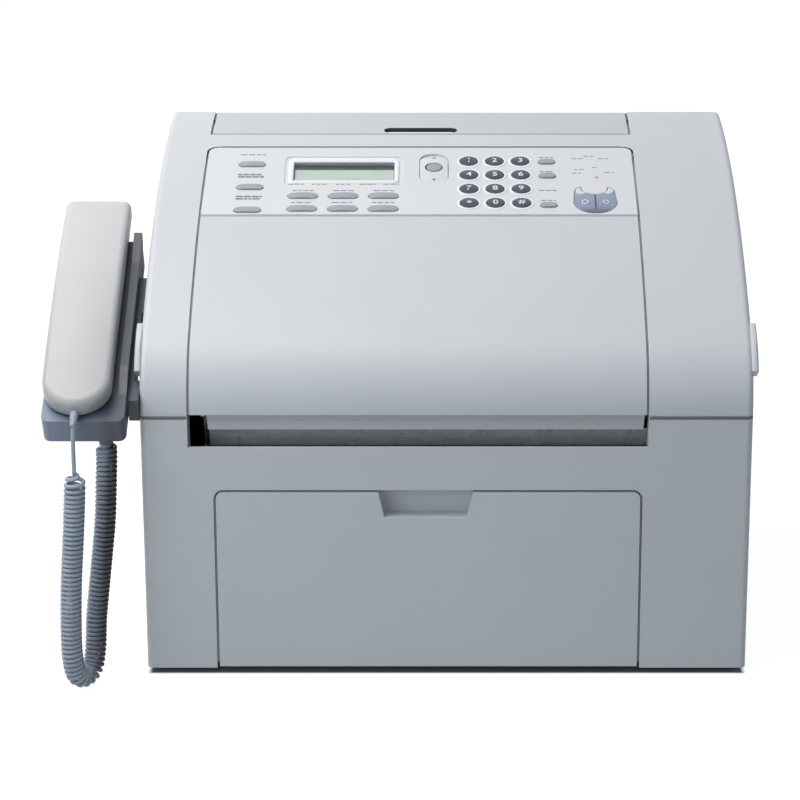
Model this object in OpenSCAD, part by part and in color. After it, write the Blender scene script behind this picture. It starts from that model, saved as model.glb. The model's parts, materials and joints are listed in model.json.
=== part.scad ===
/* [Body] */
// Width of the machine's body
body_w = 388; // [360:1:470]
// Depth of the body, front face to rear face
body_d = 284; // [260:1:345]
// Height of the body above the surface it stands on
body_h = 311.5; // [290:0.5:375]
// Height of the seam between the lower and the upper housing
seam_z = 175.6; // [165:0.1:185]
// Radius of the long curve over the top
crown_r = 500; // [450:5:650]
// Radius of the bend from the front face into the long curve
brow_r = 55; // [40:1:70]
// Rounding of the housing's outer edges
edge_r = 4; // [2:0.5:6]
// Wall of the housings and covers
wall = 2.5; // [2:0.1:3.5]
// Height of the rubber feet below the base
foot_h = 4; // [3:0.5:8]

/* [Clearances] */
// Running gap round covers and doors that open
gap = 1.5; // [0.8:0.1:2]
// Seat clearance between fixed pieces
seat = 0.3; // [0.2:0.05:0.4]
// Clearance round each key in the panel
key_gap = 0.35; // [0.25:0.05:0.5]
// Radial clearance of pins and shafts that turn
pin_gap = 0.2; // [0.1:0.05:0.3]

/* [Front cover] */
// Left end of the opening above the output slot
cover_x0 = -164; // [-172:1:-150]
// Right end of the opening above the output slot
cover_x1 = 128; // [115:1:150]
// Distance of the opening's rear edge behind the front face
cover_back = 212; // [195:1:215]
// Gap behind the front cover
back_gap = 3.5; // [1.5:0.5:4]
// Rounding of the opening's rear corners
cover_corner = 8; // [4:1:14]
// Radius of the hinge pins of covers and doors
hinge_pin_r = 2.5; // [2:0.25:3]

/* [Control panel] */
// Distance of the panel's middle behind the front face
panel_mid = 164.6; // [155:0.2:175]
// Length of the panel along the slope
panel_len = 89; // [86:1:92]
// Thickness of the panel plate
panel_t = 3; // [2.5:0.1:3.5]
// Depth of the panel's middle below the top of the long curve
panel_inset = 0.6; // [0:0.1:1.5]
// Travel of the keys
key_travel = 1.2; // [0.6:0.1:1.5]
// Height that the keys stand above the panel
key_proud = 1.2; // [0.5:0.1:1.5]
// Radius of the round digit keys
digit_r = 6; // [5:0.25:6.6]
// Distance between digit keys across the panel
digit_pitch_x = 17.5; // [15:0.25:18]
// Distance between digit keys along the panel
digit_pitch_y = 18.5; // [15:0.25:18.6]

/* [Output slot and paper tray] */
// Height of the output slot
slot_h = 21; // [14:0.5:26]
// Left end of the tray door
door_x0 = -148.5; // [-155:0.5:-140]
// Right end of the tray door
door_x1 = 125; // [115:0.5:126]
// Height of the tray door's upper edge
door_top = 126; // [115:0.5:140]
// Rounding of the tray door's upper corners
door_corner = 6; // [3:0.5:9]
// Width of the finger recess at the door's upper edge
recess_w = 61; // [50:1:75]
// Height of the finger recess
recess_h = 17; // [14:0.5:20]
// Width of the widest sheet in the tray
sheet_w = 216; // [182:1:220]
// Diameter of the pickup roller
pickup_d = 28; // [24:1:30]

/* [Document lid] */
// Distance of the lid's front edge behind the front face
lid_front = 233.5; // [225:0.5:240]
// Length of the finger slot in the lid
lid_slot_l = 51; // [40:1:60]
// Width of the finger slot in the lid
lid_slot_w = 9.5; // [7:0.5:10]

/* [Handset and cradle] */
// Slope of the cradle from level
cradle_slope = 28; // [24:0.5:32]
// Distance from the body's side to the cradle
cradle_off = 7; // [6:0.5:16]
// Width of the cradle
cradle_w = 52; // [48:0.5:56]
// Length of the cradle along the slope
cradle_l = 166; // [160:1:176]
// Height of the cradle's rim above its underside
cradle_h = 18; // [16:0.5:22]
// Distance of the cradle's near end in front of the front face
cradle_fwd = 16; // [10:1:20]
// Height of the cradle's near underside edge
cradle_z = 164; // [160:1:175]
// Width of the handset
handset_w = 43; // [40:0.5:44]
// Length of the handset
handset_l = 191; // [184:1:196]
// Thickness of the handset's back shell at its middle
handset_t = 18.5; // [16:0.5:21]
// Radius of the handset's arched back
handset_arch_r = 700; // [500:10:1200]

/* [Cord] */
// Outer diameter of the coiled cord
coil_d = 14; // [12:0.5:14.5]
// Diameter of the plain lead
lead_d = 3; // [2.5:0.1:4]

/* [Hidden] */
$fn = 48;
fine = 180;
over = 1;

// Long curve: its circle touches the brow and ends at the rear edge
crown_d = norm([body_d - brow_r, body_h - seam_z]);
crown_a = ((crown_r - brow_r) ^ 2 - crown_r ^ 2 + crown_d ^ 2) / (2 * crown_d);
crown_b = sqrt((crown_r - brow_r) ^ 2 - crown_a ^ 2);
crown_u = [body_d - brow_r, body_h - seam_z] / crown_d;
crown_c = [brow_r, seam_z] + crown_a * crown_u + crown_b * [crown_u.y, -crown_u.x];
join_a = atan2(seam_z - crown_c.y, brow_r - crown_c.x);
function crown_z(y, depth = 0) = crown_c.y + sqrt((crown_r - depth) ^ 2 - (y - crown_c.x) ^ 2);
function crown_slope(y) = asin((crown_c.x - y) / crown_r);

half_w = body_w / 2;
base_z = foot_h + wall;
inner_x0 = -half_w + wall;
inner_x1 = half_w - wall;
cover_w = cover_x1 - cover_x0;
cover_mid = (cover_x0 + cover_x1) / 2;
hinge_y = 7;
hinge_z = seam_z + 7;
flange = 14;
cheek = 36;
seam_gap = 0.6;
// Ends of the lip behind the output slot
lip_x = [cover_x0 + 12, cover_x1 - gap - 1];
ledge_d = 3.2;
ledge_t = 1.5;
lid_ledge_d = 3.6;

panel_a = crown_slope(panel_mid);
panel_half = panel_len / 2;
key_foot = 0.8;
key_foot_t = 1.2;
key_low = -panel_t - key_travel - 0.6;
nav_low = key_low - 0.8;
bed_z = -panel_t - 6.5;
digit_at = [15.2, 25.4];
lcd_at = [-69.3, 11.8];
lcd_size = [68, 24.4];
nav_at = [-8.5, 16];
nav_size = [40, 19];
ok_r = 5;
nav_pin = [11.8, 0.8, -5];
fan_at = [99.2, -27.5];
lamp_y = 4;

slot_z = seam_z - slot_h;
shelf_drop = 8;
door_mid = (door_x0 + door_x1) / 2;
door_y = 7;
door_z = base_z + 5;
tray_z = base_z + 8;
tray_y0 = 22;
guide_h = 40;
plate_t = 1.5;
plate_x0 = door_x0 - 5;
plate_x1 = door_x1 + 5;
shaft_r = 3;
pickup_y = 70;
pickup_z = tray_z + 70;
exit_y = 32;
exit_z = slot_z + 12;
// Exit guide: its top below the seam, its flange above the shelf, its sheet
guide_top = 12.8;
guide_rise = 5.2;
guide_sheet = 1.2;
heat_y = body_d - 52;
heat_z = 130;
cart_y = [62, 150];
cart_z = [124, 186];
laser_y = [134, 230];
laser_z = [194, 216];

lid_y = body_d - 6;
lid_z = crown_z(lid_y, 9);
lid_t = 3;
bed_depth = 13;
bed_y1 = lid_y - 8;
trough_z = lid_z - 9;
feed_y = [lid_front + 6, lid_front + 16];
doc_y = lid_front + 11;
doc_z = crown_z(doc_y, bed_depth + 8.8);
feed_lean = 8.8 * sin(crown_slope(doc_y));

cradle_x = -half_w - cradle_off - cradle_w / 2;
handset_x = -4.5;
handset_y0 = 3;
rest_z = cradle_h + 2;
handset_edge = 4.5;
cup_z = 9.6;
hook_y = handset_y0 + handset_l - 36;
rail_t = 3.4;
socket_r = 4.5;
foot_inset = 30;
foot_r = 9;

inlet_x = inner_x0 + 18;
inlet_z = 40;
switch_z = 68;
switch_tilt = 7;
jack_x = plate_x1 + plate_t + 17;
jack_zs = [40, 58, 76];

// Route of the coiled cord from the cradle to the lead, Y from the front face
COIL_ROUTE = [
  [-214.5, -8, 160], [-214.5, -8, 152], [-215, -9.5, 138], [-216.5, -11.5, 110], [-220.5, -13, 75],
  [-224, -14, 45], [-225, -15.5, 26], [-227, -19, 12.5], [-231.5, -24.5, 8.5], [-236, -30, 12.5],
  [-237.8, -33, 26], [-237.8, -34, 45], [-236.5, -34.5, 75], [-233.8, -34.5, 110],
  [-232.2, -34.5, 134], [-231.8, -34.5, 143], [-231.8, -34.5, 150]
];
// Route of the plain lead from the handset to the coil
LEAD_ROUTE = [
  [-231.5, -27.3, 184.1], [-231.5, -30.8, 182.2], [-231.5, -33.4, 179], [-231.6, -34.8, 174],
  [-231.7, -35, 167], [-231.8, -34.5, 157], [-231.8, -34.5, 150]
];
// Where the cradle stands when the routes are as listed
ROUTE_CRADLE = [-227, 16, 164];

// Bar keys: name, place across and along the panel, length, width
BAR_KEYS = [
  ["key_side_top", -132, 21, 18, 6],
  ["key_side_middle", -132, -9.5, 18, 6],
  ["key_side_bottom", -132, -39.2, 18, 6],
  ["key_menu_left", -96, -20.9, 20, 6.5],
  ["key_menu_middle", -69, -20.9, 20, 6.5],
  ["key_menu_right", -42, -20.9, 20, 6.5],
  ["key_mode_left", -96, -37.5, 20, 6.5],
  ["key_mode_middle", -69, -37.5, 20, 6.5],
  ["key_mode_right", -42, -37.5, 20, 6.5],
  ["key_function_top", 68, 24.3, 11, 5.5],
  ["key_function_middle", 68, 5.5, 11, 5.5],
  ["key_function_bottom", 68, -33, 11, 5.5]
];
DIGITS = ["1", "2", "3", "4", "5", "6", "7", "8", "9", "star", "0", "hash"];

c_case = [0.80, 0.81, 0.83];
c_panel = [0.92, 0.92, 0.93];
c_cradle = [0.33, 0.37, 0.44];
c_dark = [0.25, 0.27, 0.30];
c_steel = [0.65, 0.67, 0.70];
c_rubber = [0.15, 0.15, 0.16];
c_key = [0.70, 0.71, 0.74];
c_digit = [0.30, 0.32, 0.37];
c_blue = [0.58, 0.63, 0.73];
c_board = [0.16, 0.38, 0.26];

// ---- shared frames and forms ----

// Y runs back from the body's front face
module from_front() { translate([0, -body_d / 2, 0]) children(); }

// x across, y up the slope, z out of the panel's face
module on_panel() {
  from_front() translate([0, panel_mid, crown_z(panel_mid)]) rotate([panel_a, 0, 0])
    translate([0, 0, -panel_inset]) children();
}

// x across, y up the slope, z square to the cradle's underside
module on_cradle() {
  from_front() translate([cradle_x, -cradle_fwd, cradle_z]) rotate([cradle_slope, 0, 0]) children();
}

module block(x0, x1, y0, y1, z0, z1) {
  translate([x0, y0, z0]) cube([x1 - x0, y1 - y0, z1 - z0]);
}

module bar_x(x0, x1, r) {
  translate([x0, 0, 0]) rotate([0, 90, 0]) cylinder(r = r, h = x1 - x0);
}

// A disc about the X axis, its rims rounded to radius e
module rim_disc(r, x0, x1, e) {
  w = x1 - x0;
  translate([x0, 0, 0]) rotate([0, 90, 0]) rotate_extrude($fn = fine) {
    if (e > 0) {
      square([r - e, w]);
      translate([0, e]) square([r, w - 2 * e]);
      for (y = [e, w - e]) translate([r - e, y]) circle(r = e);
    } else {
      square([r, w]);
    }
  }
}

// A rectangle with rounded corners, its own corner at the origin
module round_rect(w, l, r) {
  translate([r, 0]) square([w - 2 * r, l]);
  translate([0, r]) square([w, l - 2 * r]);
  for (x = [r, w - r], y = [r, l - r]) translate([x, y]) circle(r = r);
}

// A bar with round ends, centred
module stadium(l, w) {
  square([l - w, w], center = true);
  for (s = [-1, 1]) translate([s * (l - w) / 2, 0]) circle(r = w / 2);
}

// Everything under the curved top and above the seam, inset by t, as far back as y1
module top_form(t, x0, x1, e, y1) {
  reach = body_h + body_d;
  difference() {
    intersection() {
      translate([0, brow_r, seam_z]) rim_disc(brow_r - t, x0, x1, e);
      block(x0 - over, x1 + over, -over, brow_r, seam_z, seam_z + brow_r);
    }
    behind_join(x0, x1, reach);
  }
  intersection() {
    translate([0, crown_c.x, crown_c.y]) rim_disc(crown_r - t, x0, x1, e);
    block(x0 - over, x1 + over, -over, y1, seam_z, reach);
    behind_join(x0, x1, reach);
  }
}

// The space behind the plane in which brow and long curve meet
module behind_join(x0, x1, reach) {
  translate([0, brow_r, seam_z]) rotate([join_a - 180, 0, 0])
    translate([x0 - over, -reach, 0]) cube([x1 - x0 + 2 * over, 2 * reach, reach]);
}

// The layer between two depths under the curved top
module top_layer(d0, d1, x0, x1, y0, y1) {
  intersection() {
    difference() {
      top_form(d0, x0, x1, 0, y1);
      top_form(d1, x0 - over, x1 + over, 0, y1 + over);
    }
    block(x0, x1, y0, y1, seam_z, body_h + over);
  }
}

// Outline of the opening for the front cover, from above, shrunk by g and by more behind
module cover_plan(g, behind = 0) {
  ahead = 40;
  back = cover_back - behind;
  translate([cover_x0 + g, -ahead]) {
    square([cover_w - 2 * g, ahead + back - cover_corner]);
    translate([0, ahead + back - g - 3 * cover_corner])
      round_rect(cover_w - 2 * g, 3 * cover_corner, cover_corner - g);
  }
}

// Outline of the tray door's opening from the front, shrunk by g
module door_outline(g) {
  r = door_corner - g;
  w = door_x1 - door_x0 - 2 * g;
  translate([door_x0 + g, 0]) {
    square([w, door_top - g - r]);
    translate([0, door_top - g - 3 * r]) round_rect(w, 3 * r, r);
  }
}

module door_form(g, y0, y1) {
  translate([0, y1, 0]) rotate([90, 0, 0]) linear_extrude(y1 - y0) door_outline(g);
}

module door_ring(g0, g1, y0, y1) {
  difference() {
    door_form(g0, y0, y1);
    door_form(g1, y0 - over, y1 + over);
  }
}

// Ledge in the gap round the cover, below the surface
module cover_ledge() {
  intersection() {
    top_layer(ledge_d, ledge_d + ledge_t, cover_x0 - wall / 2, cover_x1 + wall / 2, 0, cover_back + wall / 2);
    translate([0, 0, seam_z]) linear_extrude(body_h) difference() {
      cover_plan(-wall / 2);
      cover_plan(gap - seat);
    }
  }
}

// Ledge in the gap round the document lid
module lid_ledge() {
  w = wall / 2 + gap - seat;
  for (x = [cover_x0 - wall / 2, cover_x1 + wall / 2 - w])
    top_layer(lid_ledge_d, lid_ledge_d + ledge_t, x, x + w, lid_front, lid_y - 10);
  top_layer(lid_ledge_d, lid_ledge_d + ledge_t, cover_x0, cover_x1, lid_front - wall / 2, lid_front + gap - seat);
}

// ---- housings ----

module lower_housing() {
  h = seam_z - foot_h - seat;
  d = body_d - wall - seat;
  color(c_case) from_front() {
    difference() {
      translate([-half_w, 0, foot_h]) linear_extrude(h) difference() {
        union() {
          round_rect(body_w, d, edge_r);
          translate([0, edge_r]) square([body_w, d - edge_r]);
        }
        translate([wall, wall]) square([body_w - 2 * wall, body_d]);
      }
      door_form(0, -over, wall + over);
      block(cover_x0, cover_x1, -over, wall + over, slot_z, seam_z);
      for (i = [0:11])
        block(half_w - wall - over, half_w + over, 120 + i * 9, 124 + i * 9, 60, 110);
    }
    // returns round the tray mouth with a ledge behind the gap, and the bores of the door's pins
    difference() {
      union() {
        door_ring(-wall, 0, wall, 13);
        door_ring(-wall / 2, gap - seat, wall + 1, wall + 1 + ledge_t);
      }
      block(door_x0 - wall - over, door_x1 + wall + over, 0, 20, -over, base_z + seat);
      translate([0, door_y, door_z]) bar_x(door_x0 - 5, door_x1 + 5, hinge_pin_r + pin_gap);
    }
    // shelf and cheeks of the output slot, and the chute behind them
    shelf_z = slot_z - shelf_drop;
    block(cover_x0 - wall, cover_x1 + wall, wall, 20, shelf_z - wall, shelf_z);
    block(plate_x0 + 1, plate_x1 - 1, wall, 52, shelf_z - wall, shelf_z);
    for (x = [cover_x0 - wall, cover_x1]) block(x, x + wall, wall, 20, shelf_z, seam_z - seat);
  }
}

module upper_housing() {
  color(c_case) from_front() difference() {
    union() {
      difference() {
        top_form(0, -half_w, half_w, edge_r, body_d);
        top_form(wall, inner_x0, inner_x1, 0, body_d - wall);
        block(inner_x0, inner_x1, wall, body_d - wall, seam_z - over, seam_z + over);
        translate([0, 0, seam_z - over]) linear_extrude(body_h) cover_plan(0);
        block(cover_x0, cover_x1, lid_front, body_d + over, trough_z, body_h);
      }
      // cheeks beside the cover and the lid
      for (x = [cover_x0 - wall, cover_x1]) top_layer(wall / 2, cheek, x, x + wall, 0, body_d - wall / 2);
      // drop wall behind the cover and upstand before the lid
      top_layer(wall / 2, cheek, cover_x0 - wall, cover_x1 + wall, cover_back, cover_back + wall);
      top_layer(wall / 2, bed_depth + wall, cover_x0 - wall, cover_x1 + wall, lid_front - wall, lid_front);
      // bed under the lid
      top_layer(bed_depth, bed_depth + wall, cover_x0 - wall, cover_x1 + wall, lid_front - wall, bed_y1);
      // trough behind the bed, under the lid's rear edge
      block(cover_x0 - wall, cover_x1 + wall, bed_y1 - wall, body_d - wall / 2, trough_z - wall, trough_z);
      block(cover_x0 - wall, cover_x1 + wall, bed_y1 - wall, bed_y1, trough_z - wall, crown_z(bed_y1) - bed_depth - 1);
      // lugs of the lid's hinge
      for (x = [cover_x0, cover_x1 - 8]) translate([x, lid_y, lid_z]) {
        bar_x(0, 8, 4.5);
        block(0, 8, -12, 4.5, -12, -1.5);
      }
      for (s = [-1, 1]) side_grip(s);
      cover_ledge();
      lid_ledge();
    }
    translate([0, hinge_y, hinge_z]) bar_x(cover_x0 - 6, cover_x1 + 6, hinge_pin_r + pin_gap);
    translate([0, lid_y, lid_z]) bar_x(cover_x0 - 6, cover_x1 + 6, hinge_pin_r + pin_gap);
    translate([0, doc_y, doc_z]) bar_x(cover_x0 - 6, cover_x1 + 6, shaft_r + pin_gap);
    block(cover_mid - 112, cover_mid + 112, feed_y[0] - feed_lean, feed_y[1] - feed_lean, doc_z, body_h);
  }
}

// Moulded finger grip that follows the bend of the side wall
module side_grip(s) {
  x0 = s > 0 ? half_w - over : -half_w - 3.3;
  x1 = x0 + 3.3 + over;
  translate([0, brow_r, seam_z]) difference() {
    intersection() {
      rim_disc(brow_r, x0, x1, 1.5);
      rotate([-30, 0, 0]) block(x0 - over, x1 + over, -brow_r - over, 0, 0, 34);
    }
    bar_x(x0 - over, x1 + over, brow_r - 15);
  }
}

module rear_cover() {
  color(c_case) from_front() difference() {
    union() {
      block(-half_w, half_w, body_d - wall, body_d, foot_h, seam_z - seat);
      for (x = [inner_x0 + seat, inner_x1 - seat - wall])
        block(x, x + wall, body_d - 14, body_d - wall, base_z + seat, seam_z - 4);
    }
    block(inlet_x - 14, inlet_x + 14, body_d - 4, body_d + over, inlet_z - 10.2, inlet_z + 10.2);
    block(inlet_x - 11, inlet_x + 11, body_d - 4, body_d + over, switch_z - 8, switch_z + 8);
    for (z = jack_zs) block(jack_x - 7, jack_x + 7, body_d - 4, body_d + over, z - 6.5, z + 6.5);
    for (i = [0:13], z = [104, 134])
      block(-104 + i * 14, -100 + i * 14, body_d - 4, body_d + over, z, z + 22);
  }
}

module base_pan() {
  pan_y = wall + seat;
  color(c_dark) from_front() difference() {
    union() {
      block(inner_x0 + seat, inner_x1 - seat, pan_y, body_d - wall - seat, foot_h, base_z);
      // sockets round the screws of the feet
      for (x = [-half_w + foot_inset, half_w - foot_inset], y = [foot_inset, body_d - foot_inset])
        translate([x, y, base_z]) cylinder(r = 5, h = 4);
    }
    block(door_x0 - wall, door_x1 + wall, 0, 17, 0, base_z + over);
    for (x = [-half_w + foot_inset, half_w - foot_inset], y = [foot_inset, body_d - foot_inset])
      translate([x, y, 0]) cylinder(r = 1.6, h = 20);
    for (i = [0:9], j = [0:2])
      block(-100 + i * 20, -88 + i * 20, 60 + j * 60, 64 + j * 60, 0, base_z + over);
  }
}

module feet() {
  color(c_rubber) from_front()
    for (x = [-half_w + foot_inset, half_w - foot_inset], y = [foot_inset, body_d - foot_inset])
      translate([x, y, 0]) difference() {
        union() {
          cylinder(r = foot_r - 1, h = 1);
          translate([0, 0, 1]) cylinder(r = foot_r, h = foot_h - 1);
        }
        translate([0, 0, -over]) cylinder(r = 3, h = over + 2);
      }
}

// ---- inner frame and what it carries ----

// Side plate seen from the side: y back, z up
module plate_outline() {
  difference() {
    polygon([
      [tray_y0, base_z + seat], [body_d - 14, base_z + seat], [body_d - 14, laser_z[1]],
      [laser_y[0] - 14, laser_z[1]], [cart_y[0] - 4, seam_z + 12], [exit_y + 8, seam_z - 4],
      [tray_y0, seam_z - 4]
    ]);
    for (y = [150, 200]) translate([y, 46]) circle(r = 18);
    translate([112, 52]) circle(r = 11);
    translate([180, 150]) stadium(50, 20);
  }
}

module shaft_line(x0, x1, r) {
  for (p = [[pickup_y, pickup_z], [exit_y, exit_z], [heat_y, heat_z]])
    translate([0, p.x, p.y]) bar_x(x0, x1, r);
}

module inner_frame() {
  color(c_steel) from_front() difference() {
    union() {
      for (x = [plate_x0 - plate_t, plate_x1]) translate([x, 0, 0])
        rotate([90, 0, 90]) linear_extrude(plate_t) plate_outline();
      // tray floor and the cross members that tie the plates
      block(plate_x0, plate_x1, tray_y0, 240, tray_z - plate_t, tray_z);
      block(plate_x0, plate_x1, 252, 254, 60, 100);
      for (y = [laser_y[0] + 26, laser_y[1] - 16])
        block(plate_x0, plate_x1, y, y + 2, laser_z[0] - 6, laser_z[0]);
      // ledges that carry the cartridge
      for (x = [plate_x0, plate_x1 - 8])
        block(x, x + 8, cart_y[0], cart_y[1], cart_z[0] - 3, cart_z[0]);
    }
    shaft_line(plate_x0 - 5, plate_x1 + 5, shaft_r + pin_gap);
  }
  exit_guide();
}

// Curved sheet in front of the exit roller, on a flange between the side plates
module exit_guide() {
  low = -slot_h - shelf_drop;
  s = guide_sheet;
  color(c_steel) from_front() {
    translate([plate_x0, 0, seam_z]) rotate([90, 0, 90]) linear_extrude(cover_x1 - seat - plate_x0)
      polygon([
        [14.6, -guide_top], [15.6, -guide_top - 3.2], [17.6, low + 9], [20.4, low + 5], [23, low + 2],
        [23 + s, low + 2.4], [20.4 + s, low + 5.6], [17.6 + s, low + 9.4], [15.6 + s, -guide_top - 2.8],
        [14.6 + s, -guide_top]
      ]);
    block(plate_x0, plate_x1, 20.4, 26, seam_z + low + guide_rise, seam_z + low + guide_rise + s);
  }
}

// A shaft with rubber sleeves between the side plates
module roller(y, z, r, sleeves, length) {
  from_front() translate([0, y, z]) {
    color(c_steel) bar_x(plate_x0 - 4, plate_x1 + 4, shaft_r);
    color(c_rubber) for (x = sleeves) difference() {
      bar_x(x - length / 2, x + length / 2, r);
      bar_x(x - length, x + length, shaft_r - 0.1);
    }
  }
}

module pickup_roller() {
  difference() {
    roller(pickup_y, pickup_z, pickup_d / 2, [door_mid], 60);
    // flat of the D-shaped sleeve
    from_front() translate([0, pickup_y, pickup_z])
      block(door_mid - 31, door_mid + 31, -pickup_d, pickup_d, pickup_d / 2 - 4, pickup_d);
  }
}
module exit_roller() {
  roller(exit_y, exit_z, 6.5, [for (i = [-2:2]) cover_mid + i * 48], 16);
}
module heat_roller() {
  roller(heat_y, heat_z, 13, [door_mid], plate_x1 - plate_x0 - 14);
}

module document_roller() {
  from_front() translate([0, doc_y, doc_z]) {
    color(c_steel) bar_x(cover_x0 - wall - 2, cover_x1 + wall + 2, shaft_r);
    color(c_rubber) for (x = [-60, 0, 60]) difference() {
      bar_x(cover_mid + x - 14, cover_mid + x + 14, 7);
      bar_x(cover_mid + x - 15, cover_mid + x + 15, shaft_r - 0.1);
    }
  }
}

module toner_cartridge() {
  x0 = plate_x0 + 2;
  x1 = plate_x1 - 2;
  drum = [cart_y[0] + 16, cart_z[0] + 15];
  color(c_dark) from_front() {
    difference() {
      translate([x0, 0, 0]) rotate([90, 0, 90]) linear_extrude(x1 - x0) union() {
        translate([cart_y[0] + 34, cart_z[0]]) round_rect(cart_y[1] - cart_y[0] - 34, 56, 8);
        translate([cart_y[0] + 6, cart_z[0] + 22]) round_rect(50, 26, 6);
        translate([cart_y[0] + 30, cart_z[0]]) square([20, 40]);
      }
      translate([0, drum.x, drum.y]) bar_x(x0 + 8, x1 - 8, 16.5);
      // grip across the middle of the hopper
      block(door_mid - 40, door_mid + 40, cart_y[1] - 26, cart_y[1] - 12, cart_z[0] + 50, cart_z[1]);
    }
  }
  color([0.2, 0.45, 0.5]) from_front() translate([0, drum.x, drum.y]) {
    bar_x(x0 + 8, x1 - 8, 15);
    bar_x(x0 - 1.7, x1 + 1.7, 5);
  }
  color(c_dark) from_front() for (x = [x0, x1 - 8]) translate([x, drum.x, drum.y]) {
    bar_x(0, 8, 13);
    block(0, 8, 0, 30, -10, 20);
  }
}

module laser_unit() {
  w = 200;
  color(c_dark) from_front() translate([door_mid, 0, 0]) difference() {
    union() {
      translate([-w / 2, laser_y[0], laser_z[0] + seat])
        linear_extrude(laser_z[1] - laser_z[0] - 3) round_rect(w, laser_y[1] - laser_y[0], 8);
      translate([-w / 2 - 6, laser_y[0] - 3, laser_z[1] - 3])
        linear_extrude(3) round_rect(w + 12, laser_y[1] - laser_y[0] + 6, 8);
      // dome over the polygon mirror and ribs across the lid
      translate([50, laser_y[1] - 36, laser_z[1]]) cylinder(r = 24, h = 8);
      for (i = [-2:1]) block(i * 40 - 1, i * 40 + 1, laser_y[0], laser_y[1] - 8, laser_z[1], laser_z[1] + 3);
    }
    block(-w / 2 + 20, w / 2 - 20, laser_y[0] - 2, laser_y[0] + 5, laser_z[0] - over, laser_z[0] + 5);
  }
}

module main_board() {
  x = plate_x1 + plate_t + 8.5;
  color(c_board) from_front() block(x, x + 1.6, 70, body_d - 12, 24, 118);
  color(c_steel) from_front() for (y = [80, 240], z = [30, 110])
    translate([x - 8.5 + seat, y, z]) rotate([0, 90, 0]) cylinder(r = 3, h = 8.5);
  color(c_dark) from_front() {
    block(x + 1.6, x + 4.6, 130, 164, 56, 90);
    block(x + 1.6, x + 3.6, 180, 204, 40, 52);
    for (y = [96, 112]) translate([x + 1.6, y, 96]) rotate([0, 90, 0]) cylinder(r = 6, h = 16);
    block(x + 1.6, x + 9, 84, 118, 34, 42);
  }
  // line, extension and data sockets behind the rear cut-outs
  color(c_cradle) from_front() for (z = jack_zs) difference() {
    block(x + 1.6, jack_x + 6.7, body_d - 22, body_d - 0.5, z - 6.2, z + 6.2);
    block(jack_x - 5.5, jack_x + 5.5, body_d - 15, body_d, z - 3.6, z + 4);
    block(jack_x - 2.5, jack_x + 2.5, body_d - 15, body_d, z - 5.2, z - 3.4);
  }
}

// Mains inlet and, above it, the frame of the rocker switch
module power_inlet() {
  color(c_rubber) from_front() {
    difference() {
      union() {
        block(inlet_x - 13.7, inlet_x + 13.7, body_d - 26, body_d, inlet_z - 9.9, inlet_z + 9.9);
        block(inlet_x - 16, inlet_x + 16, body_d, body_d + 1.5, inlet_z - 12.5, inlet_z + 12.5);
      }
      block(inlet_x - 12, inlet_x + 12, body_d - 16, body_d + 2, inlet_z - 8, inlet_z + 8);
    }
    difference() {
      union() {
        block(inlet_x - 10.7, inlet_x + 10.7, body_d - 20, body_d, switch_z - 7.7, switch_z + 7.7);
        block(inlet_x - 13, inlet_x + 13, body_d, body_d + 1.5, switch_z - 10, switch_z + 10);
      }
      block(inlet_x - 8.5, inlet_x + 8.5, body_d - 14, body_d + 2, switch_z - 6.5, switch_z + 6.5);
      translate([0, body_d - 5, switch_z]) bar_x(inlet_x - 10, inlet_x + 10, 1.5 + pin_gap);
    }
    block(inlet_x - 6, inlet_x + 6, body_d - 24, body_d - 20, inlet_z, switch_z);
  }
  color(c_steel) from_front() for (x = [-7, 0, 7])
    block(inlet_x + x - 1, inlet_x + x + 1, body_d - 17, body_d - 4, inlet_z - 2 + (x == 0 ? 3 : 0),
          inlet_z + 2 + (x == 0 ? 3 : 0));
}

// Rocker, off: its lower half stands out
module power_switch() {
  color(c_digit) from_front() translate([inlet_x, body_d - 5, switch_z]) rotate([-switch_tilt, 0, 0]) {
    difference() {
      translate([-8.2, 0, 0]) bar_x(0, 16.4, 6);
      block(-9, 9, -8, -3, -8, 8);
      translate([0, 16, 0]) bar_x(-9, 9, 11);
    }
    bar_x(-9.8, 9.8, 1.5);
  }
}

// ---- covers that open ----

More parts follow.
